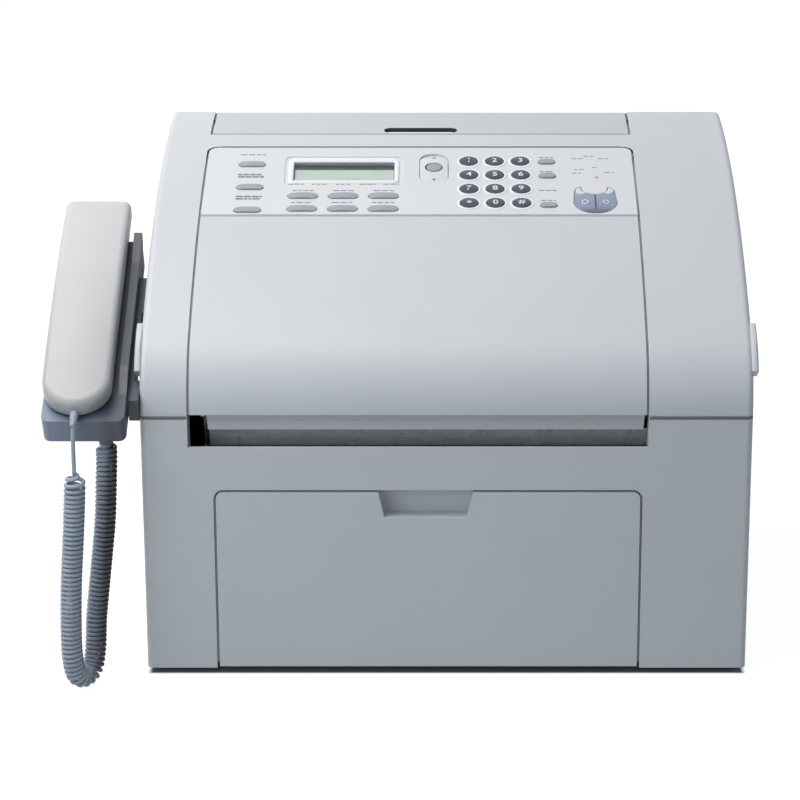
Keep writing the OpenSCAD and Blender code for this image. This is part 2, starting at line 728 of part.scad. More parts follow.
module front_cover() {
  x0 = cover_x0 + gap;
  x1 = cover_x1 - gap;
  y1 = cover_back - back_gap;
  rim = 1.1;
  color(c_case) {
    difference() {
      from_front() intersection() {
        union() {
          top_layer(0, wall, x0, x1, -over, y1);
          for (x = [x0, x1 - wall]) top_layer(0, flange, x, x + wall, -over, y1);
          top_layer(0, flange, x0, x1, y1 - wall, y1);
          for (x = [-110, -30, 50]) top_layer(0, 7, x, x + 1.6, -over, y1 - 80);
        }
        translate([0, 0, seam_z + seam_gap]) linear_extrude(body_h) cover_plan(gap, back_gap - gap);
      }
      on_panel() translate([cover_x0, -panel_half, -panel_t - seat]) cube([cover_w, panel_len * 2, 40]);
      // pocket of the keys' feet
      on_panel() translate([x0 + wall + rim, rim - panel_half, bed_z + 1])
        cube([x1 - x0 - 2 * (wall + rim), panel_len - 5 * rim, 40]);
    }
    // bed under the panel
    intersection() {
      on_panel() translate([cover_x0, -panel_half - 1, bed_z]) cube([cover_w, panel_len + 40, 2]);
      from_front() translate([0, 0, seam_z]) linear_extrude(body_h) cover_plan(gap + wall / 2, back_gap - gap);
    }
    on_panel() translate([x0 + wall / 2, -panel_half - 1, bed_z])
      cube([x1 - x0 - wall, rim + 1, -bed_z - panel_t - seat]);
    // posts of the navigation key's pins
    on_panel() for (s = [-1, 1]) translate([nav_at.x + s * nav_pin.x, nav_at.y, 0]) difference() {
      translate([-0.8, -3, bed_z + 1]) cube([1.6, 6, -bed_z - 1 - panel_t - 0.4]);
      translate([0, 0, nav_pin.z]) bar_x(-3, 3, nav_pin.y + pin_gap);
    }
    // curved lip behind the output slot
    from_front() translate([lip_x[0], 0, seam_z]) rotate([90, 0, 90]) linear_extrude(lip_x[1] - lip_x[0])
      polygon([
        [1.5, 2.4], [4, -0.6], [6.4, -3.4], [8.6, -6], [9.6, -9], [9.8, -12.2],
        [11.6, -12.2], [11.4, -8.6], [10.4, -5], [8.2, -1.8], [6.8, 1], [6.8, 4.4], [1.5, 4.4]
      ]);
    // hinge pins at the lower corners
    from_front() translate([0, hinge_y, hinge_z]) {
      bar_x(cover_x0 - wall - 1, x0 + 6, hinge_pin_r);
      bar_x(x1 - 6, cover_x1 + wall + 1, hinge_pin_r);
    }
  }
}

// Half of the fan: a rounded wing with a raised tip beside the notch
module fan_half(s, g) {
  difference() {
    hull() {
      intersection() {
        translate([0, -1.2]) circle(r = 14.3 + g);
        translate([s > 0 ? 0.5 - g : -20.5 + g, -20]) square([20, 40]);
      }
      translate([s * 8.2, 13.5]) circle(r = 5 + g);
    }
    translate([0, 17.5]) circle(r = 9 - g);
  }
}

module key_place(k) {
  translate([digit_at.x + (k % 3) * digit_pitch_x, digit_at.y - floor(k / 3) * digit_pitch_y]) children();
}

// Every key's outline in the panel, grown by g
module key_holes(g) {
  for (k = BAR_KEYS) translate([k[1], k[2]]) stadium(k[3] + 2 * g, k[4] + 2 * g);
  for (k = [0:11]) key_place(k) circle(r = digit_r + g);
  translate(nav_at) rotate([0, 0, 90]) stadium(nav_size.x + 2 * g, nav_size.y + 2 * g);
  for (s = [-1, 1]) translate(fan_at) fan_half(s, g);
}

module control_panel() {
  x0 = cover_x0 + gap;
  color(c_panel) on_panel() difference() {
    translate([x0, -panel_half, -panel_t]) linear_extrude(panel_t) {
      round_rect(cover_w - 2 * gap, panel_len, cover_corner - gap);
      square([cover_w - 2 * gap, panel_len / 2]);
    }
    translate([0, 0, -panel_t - over]) linear_extrude(panel_t + 2 * over) key_holes(key_gap);
    translate([lcd_at.x - lcd_size.x / 2, lcd_at.y - lcd_size.y / 2, -panel_t - over])
      cube([lcd_size.x, lcd_size.y, panel_t + 2 * over]);
    // shallow sunk field round the display
    translate([lcd_at.x - 40, lcd_at.y - 17.5, -0.5]) linear_extrude(over) round_rect(80, 37.5, 4);
    // light pipe of the status lamp
    translate([fan_at.x + 2, lamp_y, -panel_t - over]) cylinder(r = 1.5, h = panel_t + 2 * over);
  }
}

module lcd_module() {
  w = lcd_size.x + 6;
  l = lcd_size.y + 5;
  color(c_dark) on_panel() translate([lcd_at.x, lcd_at.y, bed_z + 2 + seat]) {
    translate([-w / 2, -l / 2, 0]) cube([w, l, 2.4]);
    translate([1 - lcd_size.x / 2, 1 - lcd_size.y / 2, 0]) cube([lcd_size.x - 2, lcd_size.y - 2, 4.9]);
    for (x = [-w / 2 + 8, w / 2 - 12]) translate([x, -l / 2 - 3, 0]) cube([4, 3, 1.6]);
  }
}

module lcd_window() {
  color([0.75, 0.85, 0.8, 0.5]) on_panel() translate([lcd_at.x, lcd_at.y, -1.9])
    linear_extrude(1.2) square([lcd_size.x - 2 * seat, lcd_size.y - 2 * seat], center = true);
}

// A key cap with a foot below the panel that keeps it captive
module key_cap(dome, low = key_low) {
  intersection() {
    translate([0, 0, low]) linear_extrude(key_proud - low) children(0);
    translate([0, 0, key_proud - dome]) sphere(r = dome, $fn = 96);
  }
  translate([0, 0, low]) linear_extrude(key_foot_t) children(1);
}

module bar_key(k) {
  color(c_key) on_panel() translate([k[1], k[2], 0]) key_cap(60) {
    stadium(k[3], k[4]);
    stadium(k[3] + 2 * key_foot, k[4] + 2 * key_foot);
  }
}

module digit_key(k) {
  color(c_digit) on_panel() key_place(k) key_cap(30) {
    circle(r = digit_r);
    circle(r = digit_r + key_foot);
  }
}

module nav_rocker() {
  color(c_panel) on_panel() translate([nav_at.x, nav_at.y, 0]) {
    difference() {
      key_cap(70, nav_low) {
        rotate([0, 0, 90]) stadium(nav_size.x, nav_size.y);
        rotate([0, 0, 90]) stadium(nav_size.x + 2 * key_foot, nav_size.y + 2 * key_foot);
      }
      translate([0, 0, nav_low - over]) cylinder(r = ok_r + key_foot + key_gap, h = 20);
      for (s = [-1, 1]) translate([0, s * 13, key_proud]) cylinder(r = 3, h = 0.8, center = true, $fn = 3);
    }
    // pins that turn in the posts below the panel
    for (s = [-1, 1]) translate([s * (nav_pin.x - 1), 0, nav_pin.z]) bar_x(-1.4, 1.4, nav_pin.y);
  }
}

module ok_key() {
  color(c_key) on_panel() translate([nav_at.x, nav_at.y, 0]) key_cap(40) {
    circle(r = ok_r);
    circle(r = ok_r + key_foot - key_gap);
  }
}

module fan_key(s) {
  color(c_blue) on_panel() translate([fan_at.x, fan_at.y, 0]) key_cap(90) {
    fan_half(s, 0);
    fan_half(s, 0.1);
  }
}
module stop_key() { fan_key(-1); }
module start_key() { fan_key(1); }

module recess_outline(g) {
  polygon([[-recess_w / 2 - g, over], [recess_w / 2 + g, over], [recess_w / 2 - 4 + g, -recess_h - g],
           [4 - recess_w / 2 - g, -recess_h - g]]);
}

module tray_door() {
  x0 = door_x0 + gap;
  x1 = door_x1 - gap;
  top = door_top - gap;
  recess_x = door_mid - 1.5;
  color(c_case) from_front() {
    difference() {
      intersection() {
        door_form(gap, -over, 20);
        union() {
          block(x0, x1, 0, wall, foot_h + 1, top);
          for (x = [x0, x1 - wall]) block(x, x + wall, wall, 12, foot_h + 3, top);
          block(x0, x1, wall, 10, top - wall, top);
          block(x0, x1, wall, 8, 40, 40 + wall);
          for (i = [-3:3]) translate([door_mid + i * 36, 0, 0]) block(-0.8, 0.8, wall, 7, foot_h + 3, top);
          // finger pocket
          translate([recess_x, 14.5, top]) rotate([90, 0, 0]) linear_extrude(13) recess_outline(1.8);
        }
      }
      translate([recess_x, 13, top]) rotate([90, 0, 0]) linear_extrude(20) recess_outline(0);
      block(x0 - over, x1 + over, -over, 20, top, top + 5);
    }
    translate([0, door_y, door_z]) {
      bar_x(door_x0 - wall - 0.5, x0 + 5, hinge_pin_r);
      bar_x(x1 - 5, door_x1 + wall + 0.5, hinge_pin_r);
    }
  }
}

module paper_guide(s) {
  y0 = 40;
  z0 = tray_z + seat;
  color(c_dark) from_front() translate([door_mid + s * sheet_w / 2, 0, z0]) scale([s, 1, 1]) {
    block(0, 2, y0, y0 + 110, 0, guide_h);
    block(0, 22, y0, y0 + 110, 0, 1.6);
    for (i = [0:2]) block(1, 14, y0 + 16 + i * 38, y0 + 18 + i * 38, 0, 14);
    block(2, 10, y0 + 50, y0 + 60, guide_h - 12, guide_h);
  }
}
module paper_guide_left() { paper_guide(-1); }
module paper_guide_right() { paper_guide(1); }

module document_lid() {
  x0 = cover_x0 + gap;
  x1 = cover_x1 - gap;
  slot_y = lid_front + 8.1;
  color(c_case) from_front() {
    difference() {
      union() {
        top_layer(0, lid_t, x0, x1, lid_front + gap, body_d - 2);
        top_layer(0, 6, x0, x1, lid_front + gap, lid_front + gap + 1.8);
        for (x = [x0, x1 - 1.8]) top_layer(0, 6, x, x + 1.8, lid_front + gap, lid_y - 8);
      }
      translate([cover_mid, slot_y, lid_z]) linear_extrude(40) stadium(lid_slot_l, lid_slot_w);
    }
    // knuckles with pins that turn in the housing's lugs
    for (x = [cover_x0 + 9, cover_x1 - 17]) translate([x, lid_y, lid_z]) {
      bar_x(0, 8, 4.2);
      block(0, 8, -4.2, 4, 0, 7.5);
    }
    translate([0, lid_y, lid_z]) {
      bar_x(cover_x0 + 1, cover_x0 + 12, hinge_pin_r);
      bar_x(cover_x1 - 12, cover_x1 - 1, hinge_pin_r);
    }
  }
}

module document_guide(s) {
  x = cover_mid + s * 109;
  color(c_dark) from_front() {
    top_layer(5, bed_depth - seat, min(x, x + s * 1.8), max(x, x + s * 1.8), feed_y[1] + 2, lid_y - 9);
    top_layer(bed_depth - 1.6, bed_depth - seat, min(x, x + s * 12), max(x, x + s * 12),
              feed_y[1] + 4, lid_y - 10);
  }
}
module document_guide_left() { document_guide(-1); }
module document_guide_right() { document_guide(1); }

// ---- handset and cradle ----

// Handset from above: round near end, square far end, shrunk by g
module handset_plan(g) {
  w = handset_w - 2 * g;
  translate([handset_x, handset_y0 + handset_w / 2]) {
    circle(r = w / 2);
    translate([-w / 2, 0]) square([w, handset_l - handset_w / 2 - g - 6]);
    translate([-w / 2, handset_l - handset_w / 2 - g - 40]) round_rect(w, 40, 6 - min(g, 4));
  }
}

// Handset from the side, ends rounded
module handset_side() {
  translate([handset_y0, rest_z - 30]) round_rect(handset_l, 30 + handset_t + 2, 5);
}

module handset_shell() {
  mid_y = handset_y0 + handset_l / 2;
  color(c_panel) on_cradle() {
    intersection() {
      translate([handset_x, mid_y, rest_z + handset_t - handset_arch_r])
        rim_disc(handset_arch_r, -handset_w / 2, handset_w / 2, handset_edge);
      translate([0, 0, rest_z]) linear_extrude(handset_t + over) handset_plan(0);
      translate([-60, 0, 0]) rotate([90, 0, 90]) linear_extrude(120) handset_side();
    }
    // strain relief of the lead
    translate([handset_x, handset_y0 - 3.5, rest_z + 3]) rotate([-90, 0, 0]) cylinder(r = 2.4, h = 10);
  }
}

module handset_inner() {
  cups = [[handset_y0 + 4, 46], [handset_y0 + handset_l - 50, 46]];
  color(c_panel) on_cradle() difference() {
    union() {
      translate([0, 0, rest_z - 3]) linear_extrude(3) handset_plan(4);
      translate([0, 0, cup_z]) linear_extrude(rest_z - cup_z) intersection() {
        handset_plan(4.5);
        for (c = cups) translate([-60, c[0]]) square([120, c[1]]);
      }
    }
    // sound holes of the mouthpiece and the earpiece
    for (c = cups) translate([handset_x, c[0] + c[1] / 2, cup_z - over]) {
      cylinder(r = 1, h = over + 2, $fn = 16);
      for (a = [0:60:300]) rotate([0, 0, a]) translate([6, 0, 0]) cylinder(r = 1, h = over + 2, $fn = 16);
    }
  }
}

module handset_cradle() {
  left = -cradle_w / 2;
  color(c_cradle) on_cradle() difference() {
    union() {
      translate([left, 0, 0]) linear_extrude(cradle_h) round_rect(cradle_w, cradle_l, 5);
      // raised outer wall with its pointed far end
      intersection() {
        translate([cradle_w / 2 - 5.5, 24, cradle_h - 2]) cube([5.5, cradle_l - 24, 10]);
        rotate([90, 0, 90]) linear_extrude(cradle_w) polygon([
          [24, 0], [24, cradle_h], [44, cradle_h + 5], [cradle_l - 26, cradle_h + 5],
          [cradle_l, cradle_h + 8], [cradle_l - 8, 0]
        ]);
      }
    }
    // well that takes the handset's lower side, open at the far end
    translate([0, 0, 12]) linear_extrude(30) intersection() {
      handset_well();
      translate([left + 3, 0]) square([cradle_w - 9, cradle_l + 40]);
    }
    // deeper wells of the mouthpiece and the earpiece
    translate([0, 0, cup_z - seat]) linear_extrude(30) intersection() {
      handset_well();
      for (y = [handset_y0, handset_y0 + handset_l - 54])
        translate([left + 3, y]) square([cradle_w - 9, 53]);
    }
    translate([handset_x - 4, hook_y - 3, 2]) cube([8, 6, 30]);
    // lengthwise groove in the side band
    translate([cradle_w / 2 - 1, 14, 6]) cube([2, cradle_l - 30, 3]);
  }
  // socket of the cord under the near end
  color(c_cradle) from_front() translate(hung(COIL_ROUTE)[0] + [0, 0, seat]) cylinder(r = socket_r, h = 10);
}
module handset_well() {
  handset_plan(3.5);
  translate([handset_x, handset_y0 + handset_w / 2]) circle(r = handset_w / 2 - 1.5);
}

module hook_switch() {
  color(c_key) on_cradle() translate([handset_x - 3.7, hook_y - 2.7, 2 + seat])
    cube([7.4, 5.4, cup_z - 2 - seat - 0.15]);
}

// Rail along the cradle with two arms that reach the body's side
module cradle_bracket() {
  color(c_dark) on_cradle() translate([cradle_w / 2, 0, 0]) rotate([90, 0, 90]) {
    linear_extrude(rail_t) difference() {
      polygon([[22, -4], [22, 14], [135, 14], [135, 4], [102, 1], [60, 1], [50, -4]]);
      translate([80, 7.5]) stadium(34, 6);
    }
    linear_extrude(cradle_off) {
      translate([22, -4]) square([18, 18]);
      translate([102, 3]) square([33, 11]);
    }
  }
}

// ---- cord ----

// A route, moved and stretched so that it hangs from the cradle
function hung(p) = [for (q = p) [
  q.x + cradle_x - ROUTE_CRADLE.x, q.y - cradle_fwd + ROUTE_CRADLE.y, q.z * cradle_z / ROUTE_CRADLE.z
]];
function unit(v) = v / norm(v);
function spline(p, i, t) =
  let (a = p[max(i - 1, 0)], b = p[i], c = p[i + 1], d = p[min(i + 2, len(p) - 1)])
  0.5 * (2 * b + (c - a) * t + (2 * a - 5 * b + 4 * c - d) * t ^ 2 + (3 * b - a - 3 * c + d) * t ^ 3);
function route(p, n) =
  concat([for (i = [0:len(p) - 2], j = [0:n - 1]) spline(p, i, j / n)], [p[len(p) - 1]]);
function heading(q, i) = unit(q[min(i + 1, len(q) - 1)] - q[max(i - 1, 0)]);

// A round tube swept along a route; side is square to the plane the route lies in
module swept_tube(p, n, d, sides, side) {
  q = route(p, n);
  rings = len(q);
  points = [for (i = [0:rings - 1])
    let (t = heading(q, i), u = unit(side - (side * t) * t), v = cross(t, u))
    for (a = [0:sides - 1]) q[i] + d / 2 * (cos(360 * a / sides) * u + sin(360 * a / sides) * v)];
  skin = [for (i = [0:rings - 2], a = [0:sides - 1])
    let (b = (a + 1) % sides)
    [i * sides + a, (i + 1) * sides + a, (i + 1) * sides + b, i * sides + b]];
  ends = [[for (a = [0:sides - 1]) a], [for (a = [sides - 1:-1:0]) (rings - 1) * sides + a]];
  polyhedron(points, concat(skin, ends));
}

module cord_coil() {
  color(c_cradle) from_front() swept_tube(hung(COIL_ROUTE), 3, coil_d, 12, [0.8, -0.6, 0]);
}
module cord_lead() {
  color(c_cradle) from_front() swept_tube(hung(LEAD_ROUTE), 2, lead_d, 8, [1, 0, 0]);
}

lower_housing();
upper_housing();
rear_cover();
base_pan();
feet();
inner_frame();
front_cover();
control_panel();
lcd_module();
lcd_window();
tray_door();
paper_guide_left();
paper_guide_right();
document_lid();
document_guide_left();
document_guide_right();
handset_shell();
handset_inner();
handset_cradle();
cradle_bracket();
hook_switch();
cord_coil();
cord_lead();
toner_cartridge();
laser_unit();
heat_roller();
pickup_roller();
exit_roller();
document_roller();
main_board();
power_inlet();
power_switch();
nav_rocker();
ok_key();
stop_key();
start_key();
for (k = BAR_KEYS) bar_key(k);
for (k = [0:11]) digit_key(k);
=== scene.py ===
"""Looks of the desktop fax machine. All lengths are metres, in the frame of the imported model:
X to the right, Y to the back, Z up, the origin on the floor under the middle of the body."""
import json
import math
import random

import bmesh
import bpy
from mathutils import Matrix, Vector


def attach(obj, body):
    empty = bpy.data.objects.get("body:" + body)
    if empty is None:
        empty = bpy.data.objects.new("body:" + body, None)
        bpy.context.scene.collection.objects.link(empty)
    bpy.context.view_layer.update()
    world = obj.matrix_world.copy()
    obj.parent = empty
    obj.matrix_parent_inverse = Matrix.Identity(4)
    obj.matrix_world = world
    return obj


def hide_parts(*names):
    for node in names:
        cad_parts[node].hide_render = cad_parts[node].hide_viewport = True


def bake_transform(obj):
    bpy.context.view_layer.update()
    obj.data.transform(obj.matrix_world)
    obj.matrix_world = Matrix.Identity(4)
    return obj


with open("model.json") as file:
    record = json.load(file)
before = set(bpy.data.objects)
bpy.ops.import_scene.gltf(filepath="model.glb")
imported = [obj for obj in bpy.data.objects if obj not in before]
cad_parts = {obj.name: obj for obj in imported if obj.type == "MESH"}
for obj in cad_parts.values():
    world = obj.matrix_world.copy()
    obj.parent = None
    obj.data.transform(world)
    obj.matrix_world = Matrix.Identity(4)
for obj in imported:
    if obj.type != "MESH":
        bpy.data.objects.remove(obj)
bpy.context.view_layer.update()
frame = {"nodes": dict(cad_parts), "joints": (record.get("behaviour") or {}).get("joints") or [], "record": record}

MM = 0.001
X_AXIS = Vector((1, 0, 0))


# ---- frames of the sloping pieces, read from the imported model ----

def joint(name):
    return next(j for j in frame["joints"] if j["name"] == name)


def extents(node, place=Matrix.Identity(4)):
    """Lowest and highest corner of a node in another frame."""
    back = place.inverted()
    points = [back @ v.co for v in frame["nodes"][node].data.vertices]
    low = Vector(min(p[i] for p in points) for i in range(3))
    high = Vector(max(p[i] for p in points) for i in range(3))
    return low, high


def slope_frame(normal):
    """Axes of a surface that slopes up to the back: x across, y up the slope, z out of it."""
    out = Vector(normal).normalized()
    up = out.cross(X_AXIS)
    return Matrix((X_AXIS, up, out)).transposed().to_4x4()


def panel_frame():
    """The control panel's frame, its origin in the middle of the panel's face."""
    turn = slope_frame(-Vector(joint("1_press")["axis"]))
    low, high = extents("control_panel", turn)
    return turn @ Matrix.Translation((0, (low.y + high.y) / 2, high.z))


def handset_frame():
    """The handset's frame, its origin on the parting line at the near end."""
    turn = slope_frame(joint("handset_lift")["axis"])
    low, high = extents("handset_shell", turn)
    base = extents("handset_inner", turn)[1].z
    return turn @ Matrix.Translation(((low.x + high.x) / 2, high.y - HANDSET_LENGTH, base))


BODY_WIDTH = 0.388
BODY_DEPTH = 0.284
FRONT_Y = -BODY_DEPTH / 2
HANDSET_LENGTH = 0.191
HANDSET_WIDTH = 0.043
PANEL = panel_frame()
HANDSET = handset_frame()


# ---- shader nodes ----

class Graph:
    """The nodes of one material or world, and the sums that several of them need."""

    def __init__(self, owner):
        owner.use_nodes = True
        self.nodes = owner.node_tree.nodes
        self.links = owner.node_tree.links

    def calc(self, operation, a, b=0.0):
        """A sum of one or two values; each is a number or a socket."""
        node = self.nodes.new("ShaderNodeMath")
        node.operation = operation
        for value, socket in ((a, node.inputs[0]), (b, node.inputs[1])):
            if isinstance(value, (int, float)):
                socket.default_value = value
            else:
                self.links.new(value, socket)
        return node.outputs[0]

    def ramp(self, value, low, high, to_low=0.0, to_high=1.0, shape="LINEAR"):
        """Runs from to_low to to_high as the value runs from low to high, and is level beyond."""
        ramp = self.nodes.new("ShaderNodeMapRange")
        ramp.interpolation_type = shape
        for name, number in (("From Min", low), ("From Max", high), ("To Min", to_low), ("To Max", to_high)):
            ramp.inputs[name].default_value = number
        self.links.new(value, ramp.inputs["Value"])
        return ramp.outputs["Result"]

    def axes(self, vector):
        """The X, Y and Z of a vector socket."""
        split = self.nodes.new("ShaderNodeSeparateXYZ")
        self.links.new(vector, split.inputs["Vector"])
        return split.outputs


# ---- camera, lights and floor ----

CAMERA_Y = -1.872
CAMERA_Z = 0.7317
CAMERA_PITCH = math.radians(17.5)
CAMERA_LENS = 129.55
CAMERA_SHIFT = -0.0581
SKY_COLOR = (0.62, 0.81, 1.0)
SKY_STRENGTH = 0.27
FLOOR_RADIUS = 9
FLOOR_DROP = 0.2 * MM
FLOOR_GREY = (0.38, 0.38, 0.38)
FLOOR_GLOW = 0.90


def add_camera():
    data = bpy.data.cameras.new("camera")
    data.lens = CAMERA_LENS
    data.shift_x = CAMERA_SHIFT
    camera = bpy.data.objects.new("camera", data)
    camera.location = (0, CAMERA_Y, CAMERA_Z)
    camera.rotation_euler = (math.pi / 2 - CAMERA_PITCH, 0, 0)
    bpy.context.scene.collection.objects.link(camera)
    bpy.context.scene.camera = camera


def softbox(name, place, aim, size, power, color=(1, 1, 1)):
    data = bpy.data.lights.new(name, "AREA")
    data.shape = "RECTANGLE"
    data.size, data.size_y = size
    data.energy = power
    data.color = color
    lamp = bpy.data.objects.new(name, data)
    lamp.location = place
    lamp.rotation_euler = (Vector(aim) - Vector(place)).to_track_quat("-Z", "Y").to_euler()
    bpy.context.scene.collection.objects.link(lamp)


def add_lights():
    middle = (0, 0, 0.2)
    softbox("top_light", (-0.8, -0.3, 1.8), middle, (1.4, 1.2), 28, (1.0, 0.965, 0.935))
    softbox("front_light", (-0.75, -0.95, 0.45), middle, (0.8, 0.6), 2.9, (0.82, 0.91, 1.0))
    softbox("right_light", (2.1, -0.9, 1.0), middle, (1.0, 1.2), 1.5)
    softbox("back_light", (-0.8, 2.2, 1.3), middle, (1.6, 1.2), 3.5)


def camera_ray_share(graph):
    """1 on rays that show the background to the eye, directly or in gloss and glass."""
    path = graph.nodes.new("ShaderNodeLightPath").outputs
    total = path["Is Camera Ray"]
    for name in ("Is Glossy Ray", "Is Transmission Ray"):
        total = graph.calc("MAXIMUM", total, path[name])
    return total


def add_world():
    """White to the eye, and a low even blue as light."""
    world = bpy.data.worlds.new("studio")
    bpy.context.scene.world = world
    graph = Graph(world)
    graph.nodes.clear()
    out = graph.nodes.new("ShaderNodeOutputWorld")
    mix = graph.nodes.new("ShaderNodeMixShader")
    graph.links.new(camera_ray_share(graph), mix.inputs[0])
    for slot, color, strength in ((1, SKY_COLOR, SKY_STRENGTH), (2, (1, 1, 1), 1)):
        back = graph.nodes.new("ShaderNodeBackground")
        back.inputs["Color"].default_value = (*color, 1)
        back.inputs["Strength"].default_value = strength
        graph.links.new(back.outputs[0], mix.inputs[slot])
    graph.links.new(mix.outputs[0], out.inputs["Surface"])


def outside_footprint(graph):
    """0 under the machine, where its shadow is closed, and 1 on the open floor."""
    place = graph.axes(graph.nodes.new("ShaderNodeTexCoord").outputs["Object"])
    sides = []
    for name, half in (("X", BODY_WIDTH / 2), ("Y", BODY_DEPTH / 2)):
        away = graph.calc("ABSOLUTE", place[name])
        sides.append(graph.ramp(away, half - 2.5 * MM, half + 0.5 * MM))
    return graph.calc("MAXIMUM", *sides)


def add_floor():
    """A pale floor that keeps the machine's soft shadow and runs out into white."""
    bm = bmesh.new()
    bmesh.ops.create_circle(bm, cap_ends=True, segments=96, radius=FLOOR_RADIUS)
    data = bpy.data.meshes.new("floor")
    bm.to_mesh(data)
    bm.free()
    floor = bpy.data.objects.new("floor", data)
    floor.location.z = -FLOOR_DROP
    bpy.context.scene.collection.objects.link(floor)
    material = bpy.data.materials.new("floor_white")
    graph = Graph(material)
    graph.nodes.clear()
    out = graph.nodes.new("ShaderNodeOutputMaterial")
    add = graph.nodes.new("ShaderNodeAddShader")
    paint = graph.nodes.new("ShaderNodeBsdfDiffuse")
    paint.inputs["Color"].default_value = (*FLOOR_GREY, 1)
    glow = graph.nodes.new("ShaderNodeEmission")
    seen = graph.calc("MULTIPLY", camera_ray_share(graph), FLOOR_GLOW)
    open_floor = graph.calc("MULTIPLY", seen, outside_footprint(graph))
    graph.links.new(open_floor, glow.inputs["Strength"])
    graph.links.new(paint.outputs[0], add.inputs[0])
    graph.links.new(glow.outputs[0], add.inputs[1])
    graph.links.new(add.outputs[0], out.inputs["Surface"])
    data.materials.append(material)


# ---- materials ----

class Paint(Graph):
    """A node material with a Principled shader and the nodes that most finishes share."""

    def __init__(self, name, color, rough, metallic=0.0, specular=0.5):
        self.material = bpy.data.materials.new(name)
        super().__init__(self.material)
        self.material.diffuse_color = (*color, 1)
        self.shader = next(n for n in self.nodes if n.type == "BSDF_PRINCIPLED")
        self.shader.inputs["Metallic"].default_value = metallic
        self.shader.inputs["Specular IOR Level"].default_value = specular
        self.place = self.nodes.new("ShaderNodeTexCoord").outputs["Object"]
        self.color = color
        self.rough = rough
        self.tint = None
        self.normal = None

    def base(self):
        """The colour so far."""
        return self.tint if self.tint is not None else self.color

    def noise(self, size, detail=2.0, stretch=(1, 1, 1)):
        """Noise from 0 to 1 whose features are about size metres wide."""
        place = self.place
        if stretch != (1, 1, 1):
            mapping = self.nodes.new("ShaderNodeMapping")
            mapping.inputs["Scale"].default_value = stretch
            self.links.new(place, mapping.inputs["Vector"])
            place = mapping.outputs["Vector"]
        noise = self.nodes.new("ShaderNodeTexNoise")
        noise.inputs["Scale"].default_value = 1 / size
        noise.inputs["Detail"].default_value = detail
        self.links.new(place, noise.inputs["Vector"])
        return noise.outputs["Fac"]

    def spread(self, value, low, high):
        """The middle of a noise, 0.3 to 0.7, stretched to run from low to high."""
        return self.ramp(value, 0.3, 0.7, low, high)

    def mix(self, factor, a, b):
        """Colour a where factor is 0, b where it is 1; each is a colour or a socket."""
        mix = self.nodes.new("ShaderNodeMix")
        mix.data_type = "RGBA"
        self.links.new(factor, mix.inputs["Factor"])
        for value, socket in ((a, mix.inputs["A"]), (b, mix.inputs["B"])):
            if isinstance(value, tuple):
                socket.default_value = (*value, 1)
            else:
                self.links.new(value, socket)
        return mix.outputs["Result"]

    def inside(self, low, high):
        """1 inside a box given by its lowest and highest corner, 0 outside."""
        away = self.place
        middle, half = (low + high) / 2, (high - low) / 2
        for operation, value in (("SUBTRACT", middle), ("DIVIDE", half), ("ABSOLUTE", None)):
            step = self.nodes.new("ShaderNodeVectorMath")
            step.operation = operation
            self.links.new(away, step.inputs[0])
            if value is not None:
                step.inputs[1].default_value = value
            away = step.outputs["Vector"]
        x, y, z = self.axes(away)
        return self.calc("LESS_THAN", self.calc("MAXIMUM", self.calc("MAXIMUM", x, y), z), 1.0)

    def upright(self):
        """1 on faces that stand upright in the model at rest, 0 elsewhere."""
        normal = self.axes(self.nodes.new("ShaderNodeTexCoord").outputs["Normal"])
        return self.calc("LESS_THAN", self.calc("ABSOLUTE", normal["Z"]), 0.3)

    def paint_shade(self, zones, color):
        """Painted shade: a dark colour inside the boxes, where gaps and recesses fall in shade; on the upright
        faces only where a zone says so.
        """
        for low, high, only_upright in zones:
            mask = self.inside(low, high)
            if only_upright:
                mask = self.calc("MULTIPLY", mask, self.upright())
            self.tint = self.mix(mask, self.tint, color)

    def along(self, place, axis):
        """The coordinate along an axis of another frame."""
        back = place.inverted()
        turn = self.nodes.new("ShaderNodeMapping")
        turn.inputs["Location"].default_value = back.translation
        turn.inputs["Rotation"].default_value = back.to_euler()
        self.links.new(self.place, turn.inputs["Vector"])
        return self.axes(turn.outputs["Vector"])[axis]

    def fade(self, place, low, high, amount, axis="Y"):
        """Painted shade: darkens the colour along an axis of another frame, from none at low to amount at high."""
        share = self.ramp(self.along(place, axis), low, high, 0.0, amount, "SMOOTHSTEP")
        self.tint = self.mix(share, self.base(), (0.0, 0.0, 0.0))

    def shade(self, amount):
        return tuple(min(1.0, c * amount) for c in self.color)

    def mottle(self, size, amount):
        """Slow variation of the colour over the surface."""
        span = self.spread(self.noise(size, 4), 0, 1)
        self.tint = self.mix(span, self.shade(1 - amount), self.shade(1 + amount))

    def vary_gloss(self, size, amount):
        span = self.spread(self.noise(size, 5), self.rough - amount, self.rough + amount)
        self.links.new(span, self.shader.inputs["Roughness"])

    def soften(self, radius, paler_edges=0.0):
        """Rounds the look of sharp edges, and makes them a little paler."""
        bevel = self.nodes.new("ShaderNodeBevel")
        bevel.samples = 6
        bevel.inputs["Radius"].default_value = radius
        self.normal = bevel.outputs["Normal"]
        if paler_edges:
            true = self.nodes.new("ShaderNodeNewGeometry").outputs["Normal"]
            dot = self.nodes.new("ShaderNodeVectorMath")
            dot.operation = "DOT_PRODUCT"
            self.links.new(self.normal, dot.inputs[0])
            self.links.new(true, dot.inputs[1])
            edge = self.ramp(dot.outputs["Value"], 0.99, 0.80, 0.0, paler_edges)
            self.tint = self.mix(edge, self.base(), (0.9, 0.9, 0.9))

